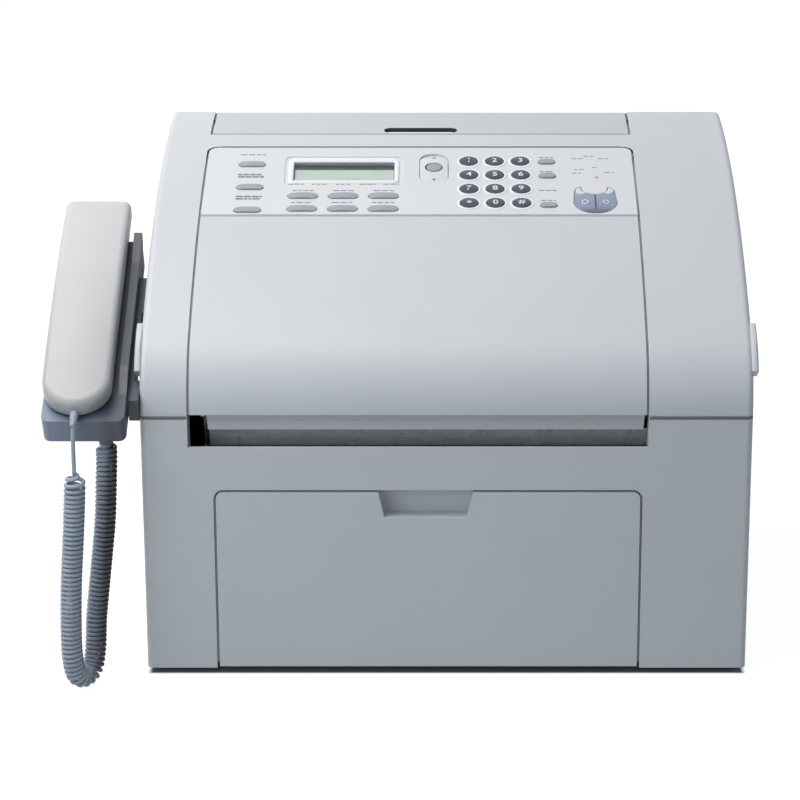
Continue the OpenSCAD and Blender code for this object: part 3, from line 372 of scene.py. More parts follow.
    def grain(self, height_map, depth):
        """Relief of depth metres from a height map of 0 to 1."""
        bump = self.nodes.new("ShaderNodeBump")
        bump.inputs["Distance"].default_value = depth
        bump.inputs["Strength"].default_value = 1.0
        self.links.new(height_map, bump.inputs["Height"])
        if self.normal is not None:
            self.links.new(self.normal, bump.inputs["Normal"])
        self.normal = bump.outputs["Normal"]

    def done(self):
        if self.tint is None:
            self.shader.inputs["Base Color"].default_value = (*self.color, 1)
        else:
            self.links.new(self.tint, self.shader.inputs["Base Color"])
        if not self.shader.inputs["Roughness"].is_linked:
            self.shader.inputs["Roughness"].default_value = self.rough
        if self.normal is not None:
            self.links.new(self.normal, self.shader.inputs["Normal"])
        return self.material


def moulded(name, color, rough, grain=0.5 * MM, depth=0.02 * MM, mottle=0.012, paler_edges=0.10, edge=0.5 * MM,
            shade_zones=(), shade_ramps=()):
    """Moulded plastic with an eroded grain, uneven gloss and paler, softened edges, and painted shade in the given
    zones and along the given ramps.
    """
    paint = Paint(name, color, rough)
    paint.mottle(0.06, mottle)
    paint.vary_gloss(0.02, 0.04)
    paint.soften(edge, paler_edges)
    # painted shade in the given zones
    paint.paint_shade(shade_zones, SHADE_COLOR)
    for fade in shade_ramps:
        paint.fade(*fade)
    paint.grain(paint.noise(grain, 3), depth)
    return paint.done()


def glossy_plastic(name, color, rough=0.22, coat=0.0):
    paint = Paint(name, color, rough)
    paint.mottle(0.01, 0.04)
    paint.vary_gloss(0.006, 0.05)
    paint.soften(0.25 * MM, 0.05)
    paint.grain(paint.noise(1.5 * MM), 0.01 * MM)
    paint.shader.inputs["Coat Weight"].default_value = coat
    return paint.done()


def rubber(name, color, rough=0.75):
    paint = Paint(name, color, rough, specular=0.3)
    paint.mottle(0.004, 0.15)
    paint.vary_gloss(0.003, 0.08)
    paint.grain(paint.noise(0.3 * MM, 4), 0.03 * MM)
    return paint.done()


def sheet_steel(name, color, rough=0.34, shade_zones=()):
    """Plated steel with fine rolling lines along X and a spangle in its gloss."""
    paint = Paint(name, color, rough, metallic=1.0)
    paint.mottle(0.008, 0.06)
    paint.vary_gloss(0.004, 0.10)
    # painted shade in the given zones
    paint.paint_shade(shade_zones, SHADE_COLOR)
    paint.grain(paint.noise(0.4 * MM, 3, stretch=(0.03, 1, 1)), 0.01 * MM)
    return paint.done()


# the strand under the cradle: origin at its socket, X across it
COIL_FRAME = Matrix.Translation((-0.2145, 0, 0.160)) @ Matrix.Rotation(math.radians(4.7), 4, "Y")


def vinyl(name, color):
    """The cord's jacket, with painted shade on the side of the first strand that faces the body."""
    paint = Paint(name, color, 0.38)
    paint.mottle(0.012, 0.06)
    paint.fade(COIL_FRAME, -2.5 * MM, 5.5 * MM, 0.92, "X")
    paint.vary_gloss(0.005, 0.06)
    paint.grain(paint.noise(0.5 * MM), 0.008 * MM)
    return paint.done()


def tinted_clear(name, color, rough=0.12):
    """Clear tinted plastic lit from within by the pale panel under it."""
    paint = Paint(name, color, rough)
    paint.mottle(0.006, 0.08)
    paint.vary_gloss(0.004, 0.04)
    paint.soften(0.4 * MM, 0.25)
    # painted shade toward the keys' lower edge
    paint.fade(PANEL, -0.034, -0.0435, 0.7)
    paint.shader.inputs["Transmission Weight"].default_value = 0.25
    paint.shader.inputs["Coat Weight"].default_value = 0.6
    paint.shader.inputs["Coat Roughness"].default_value = 0.08
    return paint.done()


def pane(name):
    """The display's clear pane: mostly see-through, with a glossy face."""
    paint = Paint(name, (0.75, 0.85, 0.78), 0.08)
    paint.mottle(0.02, 0.05)
    paint.vary_gloss(0.01, 0.02)
    paint.shader.inputs["Alpha"].default_value = 0.04
    return paint.done()


def display_face(name, band_low):
    """Liquid-crystal cells: a dark band above band_low on the panel, over a pale green reflective field."""
    paint = Paint(name, (0.55, 0.63, 0.55), 0.35)
    band = paint.ramp(paint.along(PANEL, "Y"), band_low - 0.4 * MM, band_low + 0.4 * MM)
    paint.mottle(0.01, 0.05)
    paint.tint = paint.mix(band, paint.tint, (0.012, 0.016, 0.015))
    paint.vary_gloss(0.004, 0.05)
    paint.grain(paint.noise(0.35 * MM, 1), 0.01 * MM)
    return paint.done()


def roller_finish(name, shaft_radius, joint_name):
    """Rubber, and steel wherever the surface is no further from the axis than the shaft."""
    paint = Paint(name, (0.035, 0.035, 0.037), 0.7, specular=0.3)
    axis = joint(joint_name)["pos_m"]
    place = paint.axes(paint.place)
    off = paint.nodes.new("ShaderNodeCombineXYZ")
    for side, value in (("Y", axis[1]), ("Z", axis[2])):
        paint.links.new(paint.calc("SUBTRACT", place[side], value), off.inputs[side])
    far = paint.nodes.new("ShaderNodeVectorMath")
    far.operation = "LENGTH"
    paint.links.new(off.outputs["Vector"], far.inputs[0])
    shaft = paint.calc("LESS_THAN", far.outputs["Value"], shaft_radius)
    paint.mottle(0.003, 0.2)
    paint.tint = paint.mix(shaft, paint.tint, (0.55, 0.56, 0.58))
    paint.links.new(shaft, paint.shader.inputs["Metallic"])
    paint.links.new(paint.ramp(shaft, 0, 1, 0.72, 0.28), paint.shader.inputs["Roughness"])
    paint.grain(paint.noise(0.4 * MM, 3), 0.02 * MM)
    return paint.done()


def board_finish(name, board_x):
    """Green laminate with copper traces; parts that stand off it are black."""
    paint = Paint(name, (0.02, 0.16, 0.07), 0.32)
    traces = paint.spread(paint.noise(2 * MM, 0, stretch=(1, 1, 3)), 0, 1)
    paint.tint = paint.mix(traces, (0.02, 0.13, 0.06), (0.05, 0.24, 0.10))
    stands_off = paint.calc("GREATER_THAN", paint.axes(paint.place)["X"], board_x)
    paint.tint = paint.mix(stands_off, paint.tint, (0.03, 0.03, 0.035))
    paint.grain(traces, 0.03 * MM)
    return paint.done()


CASE = (0.650, 0.658, 0.668)
FASCIA = (0.745, 0.745, 0.750)
# colour of the painted shade in gaps and recesses
SHADE_COLOR = (0.05, 0.052, 0.056)
COVER_X = (-0.164, 0.128)  # sides of the front cover
LIP_X = (-0.152, 0.1255)  # ends of the lip behind the output slot
LID_SLOT_X = -0.018
SEAM_Z = extents("lower_housing")[1].z
CROWN_Z = (0.200, 0.320)  # heights that take in the whole crown


def zone(x, y, z, only_upright=True):
    """A box with its Y measured back from the front face."""
    return Vector((x[0], FRONT_Y + y[0], z[0])), Vector((x[1], FRONT_Y + y[1], z[1])), only_upright


CASE_SHADE_ZONES = [
    # painted shade on the walls of the gap behind the control panel
    zone((COVER_X[0] - 0.3 * MM, COVER_X[1] + 0.3 * MM), (0.195, 0.2124), CROWN_Z),
    zone((COVER_X[0] + 0.009, COVER_X[1] - 0.009), (0.2078, 0.2123), CROWN_Z, False),
    # painted shade on the walls of the lid's finger slot, and on the bed under it
    zone((LID_SLOT_X - 0.0262, LID_SLOT_X + 0.0262), (0.2362, 0.2470), (0.280, 0.320)),
    zone((LID_SLOT_X - 0.029, LID_SLOT_X + 0.029), (0.2346, 0.2495), (0.250, 0.298), False),
]
# painted shade on the end walls of the lip behind the output slot
CASE_SHADE_ZONES += [zone((x - 0.4 * MM, x + 0.4 * MM), (0.001, 0.012), (SEAM_Z - 0.0135, SEAM_Z + 0.003))
               for x in LIP_X]

# painted shade on the front edge of the left side plate, beside the output slot
STEEL_SHADE_ZONES = [zone((-0.158, -0.1512), (0.0, 0.040), (SEAM_Z - 0.026, SEAM_Z + 0.008), False)]

FINISHES = {
    # the case, with painted shade in its gaps and recesses
    "case_plastic": moulded("case_plastic", CASE, 0.46, shade_zones=CASE_SHADE_ZONES),
    "panel_plastic": moulded("panel_plastic", FASCIA, 0.40, grain=0.35 * MM, depth=0.012 * MM),
    # handset: painted shade growing toward its near end
    "handset_plastic": moulded("handset_plastic", (0.645, 0.640, 0.635), 0.36, grain=0.4 * MM, depth=0.01 * MM,
                               shade_ramps=[(HANDSET, 0.170, 0.0, 0.25)]),
    # cradle: painted shade across it, growing toward the body
    "cradle_plastic": moulded("cradle_plastic", (0.24, 0.283, 0.374), 0.38, paler_edges=0.08, shade_ramps=[
        (HANDSET, -0.022, 0.020, 0.45, "X"), (HANDSET, 0.010, 0.0225, 0.6, "X")]),
    "bracket_plastic": moulded("bracket_plastic", (0.045, 0.055, 0.075), 0.42, paler_edges=0.08),
    "cord": vinyl("cord", (0.345, 0.39, 0.455)),
    "dark_plastic": moulded("dark_plastic", (0.045, 0.046, 0.050), 0.5, paler_edges=0.06),
    "rubber": rubber("rubber", (0.03, 0.03, 0.032)),
    # steel, with painted shade on the side plate's edge beside the output slot
    "steel": sheet_steel("steel", (0.56, 0.57, 0.59), shade_zones=STEEL_SHADE_ZONES),
    "circuit_board": board_finish("circuit_board", extents("main_board")[0].x + 10.1 * MM),
    "display_window": pane("display_window"),
    "black_plastic": glossy_plastic("black_plastic", (0.018, 0.018, 0.019), 0.3),
    "key_plastic": moulded("key_plastic", (0.36, 0.37, 0.40), 0.42, grain=0.3 * MM, depth=0.01 * MM),
    "digit_plastic": moulded("digit_plastic", (0.040, 0.047, 0.064), 0.34, grain=0.3 * MM, depth=0.01 * MM),
    "blue_plastic": tinted_clear("blue_plastic", (0.30, 0.36, 0.53)),
}
SHAFT_EDGE = 3.15 * MM
ROLLERS = {"pickup_roller": "pickup_spin", "exit_roller": "exit_spin",
           "heat_roller": "heat_spin", "document_roller": "feed_spin"}


def finish_nodes():
    """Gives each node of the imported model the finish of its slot."""
    for part in frame["record"]["subparts"]:
        node = frame["nodes"][part["node"]]
        node.data.materials.clear()
        node.data.materials.append(FINISHES[part["material_slot"]])
        node.data.shade_smooth()
        node.data.set_sharp_from_angle(angle=math.radians(32))
    lid = tuple(0.9 * c for c in CASE)
    # the document lid, with the same painted shade in its finger slot
    frame["nodes"]["document_lid"].data.materials[0] = moulded("lid_plastic", lid, 0.46, shade_zones=CASE_SHADE_ZONES)
    for node, joint_name in ROLLERS.items():
        frame["nodes"][node].data.materials[0] = roller_finish(node + "_finish", SHAFT_EDGE, joint_name)


# ---- building meshes ----

def piece(name, bm, slot_name, body, place=None, smooth=True, material=None):
    """Turns a bmesh, given in another frame, into a finished piece that rides on a body."""
    data = bpy.data.meshes.new(name)
    if place is not None:
        bm.transform(place)
    bmesh.ops.recalc_face_normals(bm, faces=bm.faces)
    bm.to_mesh(data)
    bm.free()
    obj = bpy.data.objects.new(name, data)
    bpy.context.scene.collection.objects.link(obj)
    data.materials.append(material or FINISHES[slot_name])
    if smooth:
        data.shade_smooth()
        data.set_sharp_from_angle(angle=math.radians(38))
    if body:
        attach(obj, body)
    return obj


def skin(bm, rings, closed=True, caps=True):
    """Joins rings of points, each as long as the next, with faces."""
    rows = [[bm.verts.new(p) for p in ring] for ring in rings]
    count = len(rows[0])
    last = count if closed else count - 1
    for a, b in zip(rows, rows[1:]):
        for i in range(last):
            j = (i + 1) % count
            bm.faces.new((a[i], a[j], b[j], b[i]))
    if caps:
        bm.faces.new(rows[0][::-1])
        bm.faces.new(rows[-1])
    return rows


def angles(count):
    """Angles that share a full turn."""
    return [2 * math.pi * k / count for k in range(count)]


def tube(line, radius, sides, side):
    """Rings round a line; side is a direction that the line never runs along."""
    rings = []
    radii = radius if isinstance(radius, list) else [radius] * len(line)
    across = Vector(side)
    for i, point in enumerate(line):
        along = (line[min(i + 1, len(line) - 1)] - line[max(i - 1, 0)]).normalized()
        across = (across - across.dot(along) * along).normalized()
        other = along.cross(across)
        rings.append([point + radii[i] * (math.cos(a) * across + math.sin(a) * other) for a in angles(sides)])
    return rings


# ---- the cord ----

COIL_ROUTE = [
    (-0.2145, -0.008, 0.160), (-0.2145, -0.008, 0.152), (-0.215, -0.0095, 0.138),
    (-0.2165, -0.0115, 0.110), (-0.2205, -0.013, 0.075), (-0.224, -0.014, 0.045),
    (-0.225, -0.0155, 0.026), (-0.227, -0.019, 0.0125), (-0.2315, -0.0245, 0.0085),
    (-0.236, -0.030, 0.0125), (-0.2378, -0.033, 0.026), (-0.2378, -0.034, 0.045),
    (-0.2365, -0.0345, 0.075), (-0.2338, -0.0345, 0.110), (-0.2322, -0.0345, 0.134),
    (-0.2318, -0.0345, 0.143), (-0.2318, -0.0345, 0.150),
]
LEAD_ROUTE = [
    (-0.2315, -0.0273, 0.1841), (-0.2315, -0.0308, 0.1822), (-0.2315, -0.0334, 0.179),
    (-0.2316, -0.0348, 0.174), (-0.2317, -0.035, 0.167), (-0.2318, -0.0345, 0.157),
    (-0.2318, -0.0345, 0.150),
]
WIRE = 2.8 * MM
COIL_OUTER = 14 * MM
COIL_PITCH = 3.05 * MM
TURN_POINTS = 20
LOOSE_TURNS = 4  # turns near the lead that stand further apart
LOOSE_STRETCH = 1.5
DRAW_IN = (0.8 * COIL_PITCH, 2 * COIL_PITCH)  # how far the first and last turns take to reach full width
CORD_SIDE = (0.8, -0.6, 0)


def spline(points, steps):
    """A Catmull-Rom line through points given from the body's front face."""
    p = [Vector(q) + Vector((0, FRONT_Y, 0)) for q in points]
    line = []
    for i in range(len(p) - 1):
        a, b, c, d = p[max(i - 1, 0)], p[i], p[i + 1], p[min(i + 2, len(p) - 1)]
        for j in range(steps):
            t = j / steps
            line.append(0.5 * (2 * b + (c - a) * t + (2 * a - 5 * b + 4 * c - d) * t ** 2
                               + (3 * b - a - 3 * c + d) * t ** 3))
    line.append(p[-1])
    return line


def along_line(line, distance):
    """The point and heading at a distance along a line."""
    for a, b in zip(line, line[1:]):
        step = (b - a).length
        if distance <= step:
            return a.lerp(b, distance / step), (b - a).normalized()
        distance -= step
    return line[-1], (line[-1] - line[-2]).normalized()


def length_of(line):
    return sum((b - a).length for a, b in zip(line, line[1:]))


def smooth_step(t):
    t = min(1.0, max(0.0, t))
    return t * t * (3 - 2 * t)


def coil_line():
    """The wire's own line: a helix round the route, drawn in to the route at both ends."""
    route = spline(COIL_ROUTE, 10)
    whole = length_of(route)
    reach = COIL_OUTER / 2 - WIRE / 2
    across = Vector(CORD_SIDE)
    line, at, angle = [], 0.0, 0.0
    while at < whole:
        point, along = along_line(route, at)
        across = (across - across.dot(along) * along).normalized()
        other = along.cross(across)
        end = whole - at
        radius = reach * smooth_step(min(at / DRAW_IN[0], end / DRAW_IN[1]))
        line.append(point + radius * (math.cos(angle) * across + math.sin(angle) * other))
        loose = 1 + (LOOSE_STRETCH - 1) * (1 - smooth_step(end / (LOOSE_TURNS * COIL_PITCH * LOOSE_STRETCH)))
        at += COIL_PITCH * loose / TURN_POINTS
        angle += 2 * math.pi / TURN_POINTS
    line.append(route[-1])
    return line


def add_cord():
    """One cord from the cradle's socket, down through the coil and up to the handset."""
    lead = spline(LEAD_ROUTE, 6)[::-1]
    line = coil_line() + lead[1:]
    bm = bmesh.new()
    skin(bm, tube(line, WIRE / 2, 8, CORD_SIDE))
    cord = piece("handset_cord", bm, "cord", None)
    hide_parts("cord_coil", "cord_lead")
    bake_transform(cord)
    print("cord length", round(length_of(line), 3))
    return line


bpy.context.scene.view_settings.view_transform = "Standard"
add_camera()
add_world()
add_lights()
add_floor()
cord_line = add_cord()
finish_nodes()


# ---- handset ----

ARCH_RADIUS = 0.700
SHELL_HEIGHT = 18.5 * MM
FAR_CORNER = 6 * MM
ROUND_OVER = 4.3 * MM
CROWN = 0.9 * MM  # rise of the back's middle over its shoulder


def handset_outline(inset, straight=22, arc=18):
    """The handset from above, shrunk by inset: x across, y from the near end; round near end."""
    half = HANDSET_WIDTH / 2 - inset
    corner = max(FAR_CORNER - inset, 0.4 * MM)
    far = HANDSET_LENGTH - inset
    near = HANDSET_WIDTH / 2
    points = []
    for k in range(2 * arc + 1):
        a = math.pi + math.pi * k / (2 * arc)
        points.append((half * math.cos(a), near + half * math.sin(a)))
    for k in range(1, straight):
        points.append((half, near + (far - corner - near) * k / straight))
    for k in range(arc // 2 + 1):
        a = math.pi / 2 * k / (arc // 2)
        points.append((half - corner + corner * math.cos(a), far - corner + corner * math.sin(a)))
    for k in range(1, 6):
        points.append(((half - corner) * (1 - 2 * k / 6), far))
    for k in range(arc // 2 + 1):
        a = math.pi / 2 + math.pi / 2 * k / (arc // 2)
        points.append((-half + corner + corner * math.cos(a), far - corner + corner * math.sin(a)))
    for k in range(straight - 1, 0, -1):
        points.append((-half, near + (far - corner - near) * k / straight))
    return points


def arch(y):
    """Height of the shell's back above the parting line, along the handset."""
    return SHELL_HEIGHT - (y - HANDSET_LENGTH / 2) ** 2 / (2 * ARCH_RADIUS)


def handset_back():
    """The arched back shell, from the parting line over a rounded shoulder to a crowned top."""
    steps = 8
    rings = []
    for drop, inset in ((0.25 * MM, 1.2 * MM), (0.25 * MM, 0.35 * MM), (0.7 * MM, 0.0)):
        rings.append([Vector((x, y, drop)) for x, y in handset_outline(inset)])
    for k in range(steps + 1):
        a = math.pi / 2 * k / steps
        inset = ROUND_OVER * (1 - math.cos(a))
        lift = ROUND_OVER * math.sin(a)
        rings.append([Vector((x, y, arch(y) - ROUND_OVER - CROWN + lift)) for x, y in handset_outline(inset)])
    shoulder = rings[-1]
    y_low, y_high = HANDSET_WIDTH / 2, HANDSET_LENGTH - HANDSET_WIDTH / 2
    for k in range(1, 9):
        t = k / 8.5
        ring = []
        for p in shoulder:
            x = p.x * (1 - t)
            y = p.y + (min(max(p.y, y_low), y_high) - p.y) * t
            rise = CROWN * (1 - (1 - t) ** 2)
            ring.append(Vector((x, y, arch(y) - CROWN + rise)))
        rings.append(ring)
    bm = bmesh.new()
    rows = skin(bm, rings, caps=False)
    spine = [bm.verts.new(Vector((0, v.co.y, v.co.z))) for v in rows[-1]]
    count = len(spine)
    for i in range(count):
        j = (i + 1) % count
        bm.faces.new((rows[-1][i], rows[-1][j], spine[j], spine[i]))
    bmesh.ops.remove_doubles(bm, verts=bm.verts, dist=0.02 * MM)
    shell = piece("handset_back", bm, "handset_plastic", "handset", HANDSET)
    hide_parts("handset_shell")


def lead_boot():
    """Ribbed boot at the handset's near end, where the lead goes in."""
    tip = cord_line[-1]
    heading = (cord_line[-1] - cord_line[-4]).normalized()
    start = tip - 9 * MM * heading
    stations = 28
    line = [start + heading * (14 * MM * k / stations) for k in range(stations + 1)]
    radii = []
    for k in range(stations + 1):
        t = k / stations
        rib = 0.28 * MM if (k // 2) % 2 and t < 0.75 else 0
        radii.append(1.65 * MM + 1.15 * MM * t + rib)
    bm = bmesh.new()
    skin(bm, tube(line, radii, 24, (1, 0, 0)))
    piece("lead_boot", bm, "cord", "handset")


def coil_plug():
    """Short core in the top of the coil, under the cradle's socket."""
    top = cord_line[0]
    line = [Vector((COIL_ROUTE[0][0], FRONT_Y + COIL_ROUTE[0][1], top.z + rise * MM))
            for rise in (2, -1, -4, -7, -10)]
    bm = bmesh.new()
    skin(bm, tube(line, [4.1 * MM] * 4 + [3.2 * MM], 24, (1, 0, 0)))
    piece("coil_plug", bm, "cord", "chassis")


handset_back()
lead_boot()
coil_plug()


# ---- control panel: legends, digits, rings ----

INK_DARK = glossy_plastic("ink_grey", (0.23, 0.24, 0.27), 0.5)
INK_PALE = glossy_plastic("ink_pale", (0.80, 0.82, 0.86), 0.5)
RING_PAINT = moulded("ring_pale", (0.90, 0.905, 0.93), 0.35, grain=0.3 * MM, depth=0.008 * MM)
INK_THICK = 0.06 * MM
DIGIT_KEYS = ["1", "2", "3", "4", "5", "6", "7", "8", "9", "star", "0", "hash"]
DIGIT_DOME = 30 * MM


def key_centre(node):
    low, high = extents(node, PANEL)
    return (low + high) / 2


def key_top(node):
    return extents(node, PANEL)[1].z


def dome_height(x, y, top, radius):
    return top - (x * x + y * y) / (2 * radius)


def add_digit(text, node, body):
    """The figure on a key, laid onto the key's dome."""
    font = bpy.data.curves.new("figure", "FONT")
    font.body = text
    font.size = 7.4 * MM
    font.align_x = "CENTER"
    font.align_y = "CENTER"
    font.offset = 0.14 * MM
    font.extrude = 0.04 * MM
    font.resolution_u = 5
    holder = bpy.data.objects.new("figure", font)
    bpy.context.scene.collection.objects.link(holder)
    bpy.context.view_layer.update()
    data = bpy.data.meshes.new_from_object(holder.evaluated_get(bpy.context.evaluated_depsgraph_get()))
    bpy.data.objects.remove(holder)
    bm = bmesh.new()
    bm.from_mesh(data)
    bpy.data.meshes.remove(data)
    middle = Vector(((min(v.co.x for v in bm.verts) + max(v.co.x for v in bm.verts)) / 2,
                     (min(v.co.y for v in bm.verts) + max(v.co.y for v in bm.verts)) / 2, 0))
    centre, top = key_centre(node), key_top(node)
    for v in bm.verts:
        v.co -= middle
        v.co.z += dome_height(v.co.x, v.co.y, top + 0.05 * MM, DIGIT_DOME)
        v.co.x += centre.x
        v.co.y += centre.y
    piece("figure_" + node, bm, "panel_plastic", body, PANEL, smooth=False, material=INK_PALE)


def add_digits():
    signs = {"star": "*", "hash": "#"}
    for name in DIGIT_KEYS:
        add_digit(signs.get(name, name), "key_" + name, "body_key_" + name)


def ring_band(bm, centre, inner, outer, low, high):
    """A flat raised ring with a rounded crest."""
    profile = [(inner, low), (inner, high * 0.7), ((inner + outer) / 2, high), (outer, high * 0.4), (outer, low)]
    rings = [[Vector((centre[0] + radius * math.cos(a), centre[1] + radius * math.sin(a), z)) for a in angles(48)]
             for radius, z in profile]
    skin(bm, rings, caps=False)


def add_key_rings():
    bm = bmesh.new()
    for name in DIGIT_KEYS:
        ring_band(bm, key_centre("key_" + name), 6.45 * MM, 8.1 * MM, -0.05 * MM, 0.45 * MM)
    piece("digit_key_rims", bm, "panel_plastic", "cover", PANEL, material=RING_PAINT)


def corner_turns(steps):
    """Side in X, side in Y and angle of each step round the four corners of a plate."""
    return [(cx, cy, math.radians(start + 90 * k / steps))
            for cx, cy, start in ((1, 1, 0), (-1, 1, 90), (-1, -1, 180), (1, -1, 270)) for k in range(steps + 1)]


def pad(bm, x, y, w, l, z, thick, corner):
    """A thin plate with round corners, its face at z."""
    points = [(x + cx * (w / 2 - corner) + corner * math.cos(a), y + cy * (l / 2 - corner) + corner * math.sin(a))
              for cx, cy, a in corner_turns(4)]
    skin(bm, [[Vector((px, py, z - thick)) for px, py in points], [Vector((px, py, z)) for px, py in points]])


def word_bars(bm, x, y, width, height, seed, space=0.9 * MM):
    """A bare printed legend: a few short bars in a row, with no letters."""
    draw = random.Random(seed)
    at = x - width / 2
    while at < x + width / 2 - 1.2 * MM:
        long = min(draw.uniform(2.2, 5.0) * MM, x + width / 2 - at)
        pad(bm, at + long / 2, y, long, height, INK_THICK, INK_THICK * 2, 0.3 * MM)
        at += long + space


# legends, each by the middle's X and Y on the panel and the width, in millimetres
LEGENDS = ([(-132, 34.5, 17)]
           + [(x, -29.3, 15) for x in (-96, -69, -42)]
           + [(x, -13.6, 14) for x in (-96, -69, -42)]
           + [(68, 30.5, 10), (68, 11.5, 10), (68, -26.5, 10), (68, -13.5, 12)])
FUNCTION_MARKS = [(89, 29, 8), (97, 32.5, 7), (107, 29, 8), (90, 14.5, 7), (101, 17, 5), (88, 9.5, 6),
                  (110, 10.5, 7)]


def add_legends():
    bm = bmesh.new()
    for i, (x, y, w) in enumerate(LEGENDS):
        word_bars(bm, x * MM, y * MM, w * MM, 1.15 * MM, i)
    for i, y in enumerate([4.6, 7.6, -24.4, -21.4]):
        word_bars(bm, -132 * MM, y * MM, 17.5 * MM, 2.1 * MM, 20 + i, 0.5 * MM)
    for i in range(5):
        word_bars(bm, (-101 + 16 * i) * MM, -5.2 * MM, 11 * MM, 0.8 * MM, 30 + i)
    piece("printed_legends", bm, "panel_plastic", "cover", PANEL, smooth=False, material=INK_DARK)
    bm = bmesh.new()
    for i, (x, y, w) in enumerate(FUNCTION_MARKS):
        word_bars(bm, x * MM, y * MM, w * MM, 0.9 * MM, 40 + i)
    piece("printed_marks", bm, "panel_plastic", "cover", PANEL, smooth=False, material=INK_DARK)


def add_display():
    """Liquid-crystal plate under the pane, a dark strip of painted shade on the opening's upper wall, and pale lip
    round it.
    """
    low, high = extents("lcd_window", PANEL)
    centre = (low + high) / 2
    size = high - low
    bm = bmesh.new()
    pad(bm, centre.x, centre.y, size.x - 0.4 * MM, size.y - 0.4 * MM, low.z - 0.25 * MM, 0.8 * MM, 0.5 * MM)
    face = display_face("display_face", centre.y + 5.6 * MM)
    piece("display_cells", bm, "display_window", "cover", PANEL, smooth=False, material=face)

    # painted shade: a dark strip on the opening's upper wall
    bm = bmesh.new()
    half, edge = size.x / 2 + 0.2 * MM, high.y + 0.25 * MM
    profile = [(edge + y * MM, high.z + z * MM)
               for y, z in ((0, 0.15), (-0.5, 0.1), (-0.9, 0.02), (-0.9, 0.01), (0, 0.01))]
    skin(bm, [[Vector((centre.x + side * half, y, z)) for y, z in profile] for side in (-1, 1)])
    piece("display_wall_shade", bm, "dark_plastic", "cover", PANEL, smooth=False)

    bm = bmesh.new()
    corner = 0.8 * MM
    w, l = size.x / 2 + 0.6 * MM - corner, size.y / 2 + 0.6 * MM - corner
    rings = []
    for offset, z in ((0.0, -1.0), (0.0, 0.35), (1.2, 0.75), (2.6, 0.45), (3.4, -0.52)):
        r = corner + offset * MM
        ring = []
        for cx, cy, a in corner_turns(6):
            tall = 1.7 if cy > 0 and offset else 1.0
            ring.append(Vector((centre.x + cx * w + r * math.cos(a), centre.y + cy * l + tall * r * math.sin(a),
                                z * MM)))
        rings.append(ring)
    skin(bm, rings, caps=False)
    piece("display_lip", bm, "panel_plastic", "cover", PANEL, material=RING_PAINT)


def add_lamp():
    """Status lamp over the start and stop keys."""
    bm = bmesh.new()
    bmesh.ops.create_uvsphere(bm, u_segments=24, v_segments=12, radius=1.45 * MM)
    for v in bm.verts:
        v.co.z = v.co.z * 0.45
        v.co += Vector((101.2 * MM, 4 * MM, 0.0))
    lens = glossy_plastic("lamp_lens", (0.62, 0.40, 0.46), 0.15, coat=0.5)
    piece("status_lamp", bm, "panel_plastic", "cover", PANEL, material=lens)


def laid_shape(bm, outline, centre, thick=INK_THICK, top=0.0):
    """A thin printed shape with its face at top, given as an outline round a centre."""
    points = [(centre[0] + x, centre[1] + y) for x, y in outline]
    skin(bm, [[Vector((x, y, top - thick)) for x, y in points], [Vector((x, y, top + thick)) for x, y in points]])


def add_nav_marks():
    """Arrowheads at the two ends of the navigation key."""
    low, high = extents("nav_rocker", PANEL)
    middle = (low + high) / 2
    for side, name in ((1, "up"), (-1, "down")):
        bm = bmesh.new()
        arrow = [(0, side * 2.8 * MM), (-3.4 * MM, -side * 2.2 * MM), (0, -side * 1.2 * MM),
                 (3.4 * MM, -side * 2.2 * MM)]
        laid_shape(bm, arrow, (middle.x, middle.y + side * 13 * MM), 0.1 * MM, high.z - 1.15 * MM)
        piece("nav_arrow_" + name, bm, "panel_plastic", "nav", PANEL, smooth=False, material=INK_DARK)


FAN = Vector((99.2 * MM, -27.5 * MM, 0))  # where the stop and start keys' common form is drawn from
TIP_END, TIP_END_RADIUS = Vector((8.2, 13.5)), 4.75  # round end of each half, in millimetres
NOTCH, NOTCH_RADIUS = Vector((0, 17.5)), 9.25


def tip_reach(side, angle):
    """How far the pale tip of a fan half spreads from its middle, between its round end and the notch."""
    middle = Vector((side * 9.9, 12.4))
    end = Vector((side * TIP_END.x, TIP_END.y))
    way = Vector((math.cos(angle), math.sin(angle)))
    reach = 0.0
    while reach < 9:
        point = middle + reach * way
        if (point - end).length > TIP_END_RADIUS or (point - NOTCH).length < NOTCH_RADIUS:
            break
        reach += 0.05
    return middle, way * reach


def add_fan_tips():
    """Raised tips beside the notch of the stop and start keys, coloured pale as a painted highlight."""
    # pale colour of the painted highlight
    pale = glossy_plastic("tip_painted_highlight", (0.66, 0.73, 0.84), 0.25, coat=0.4)
    for side, body, name in ((-1, "body_stop_key", "stop_tip"), (1, "body_start_key", "start_tip")):
        spreads = [tip_reach(side, a) for a in angles(48)]
        rings = []
        for share, z in ((1.0, -2.0), (1.0, -0.15), (0.92, 0.25), (0.7, 0.5), (0.35, 0.6), (0.02, 0.62)):
            flats = [(middle + share * spread) * MM for middle, spread in spreads]
            rings.append([FAN + Vector((flat.x, flat.y, z * MM)) for flat in flats])
        bm = bmesh.new()
        skin(bm, rings)
        piece(name, bm, "blue_plastic", body, PANEL, material=pale)


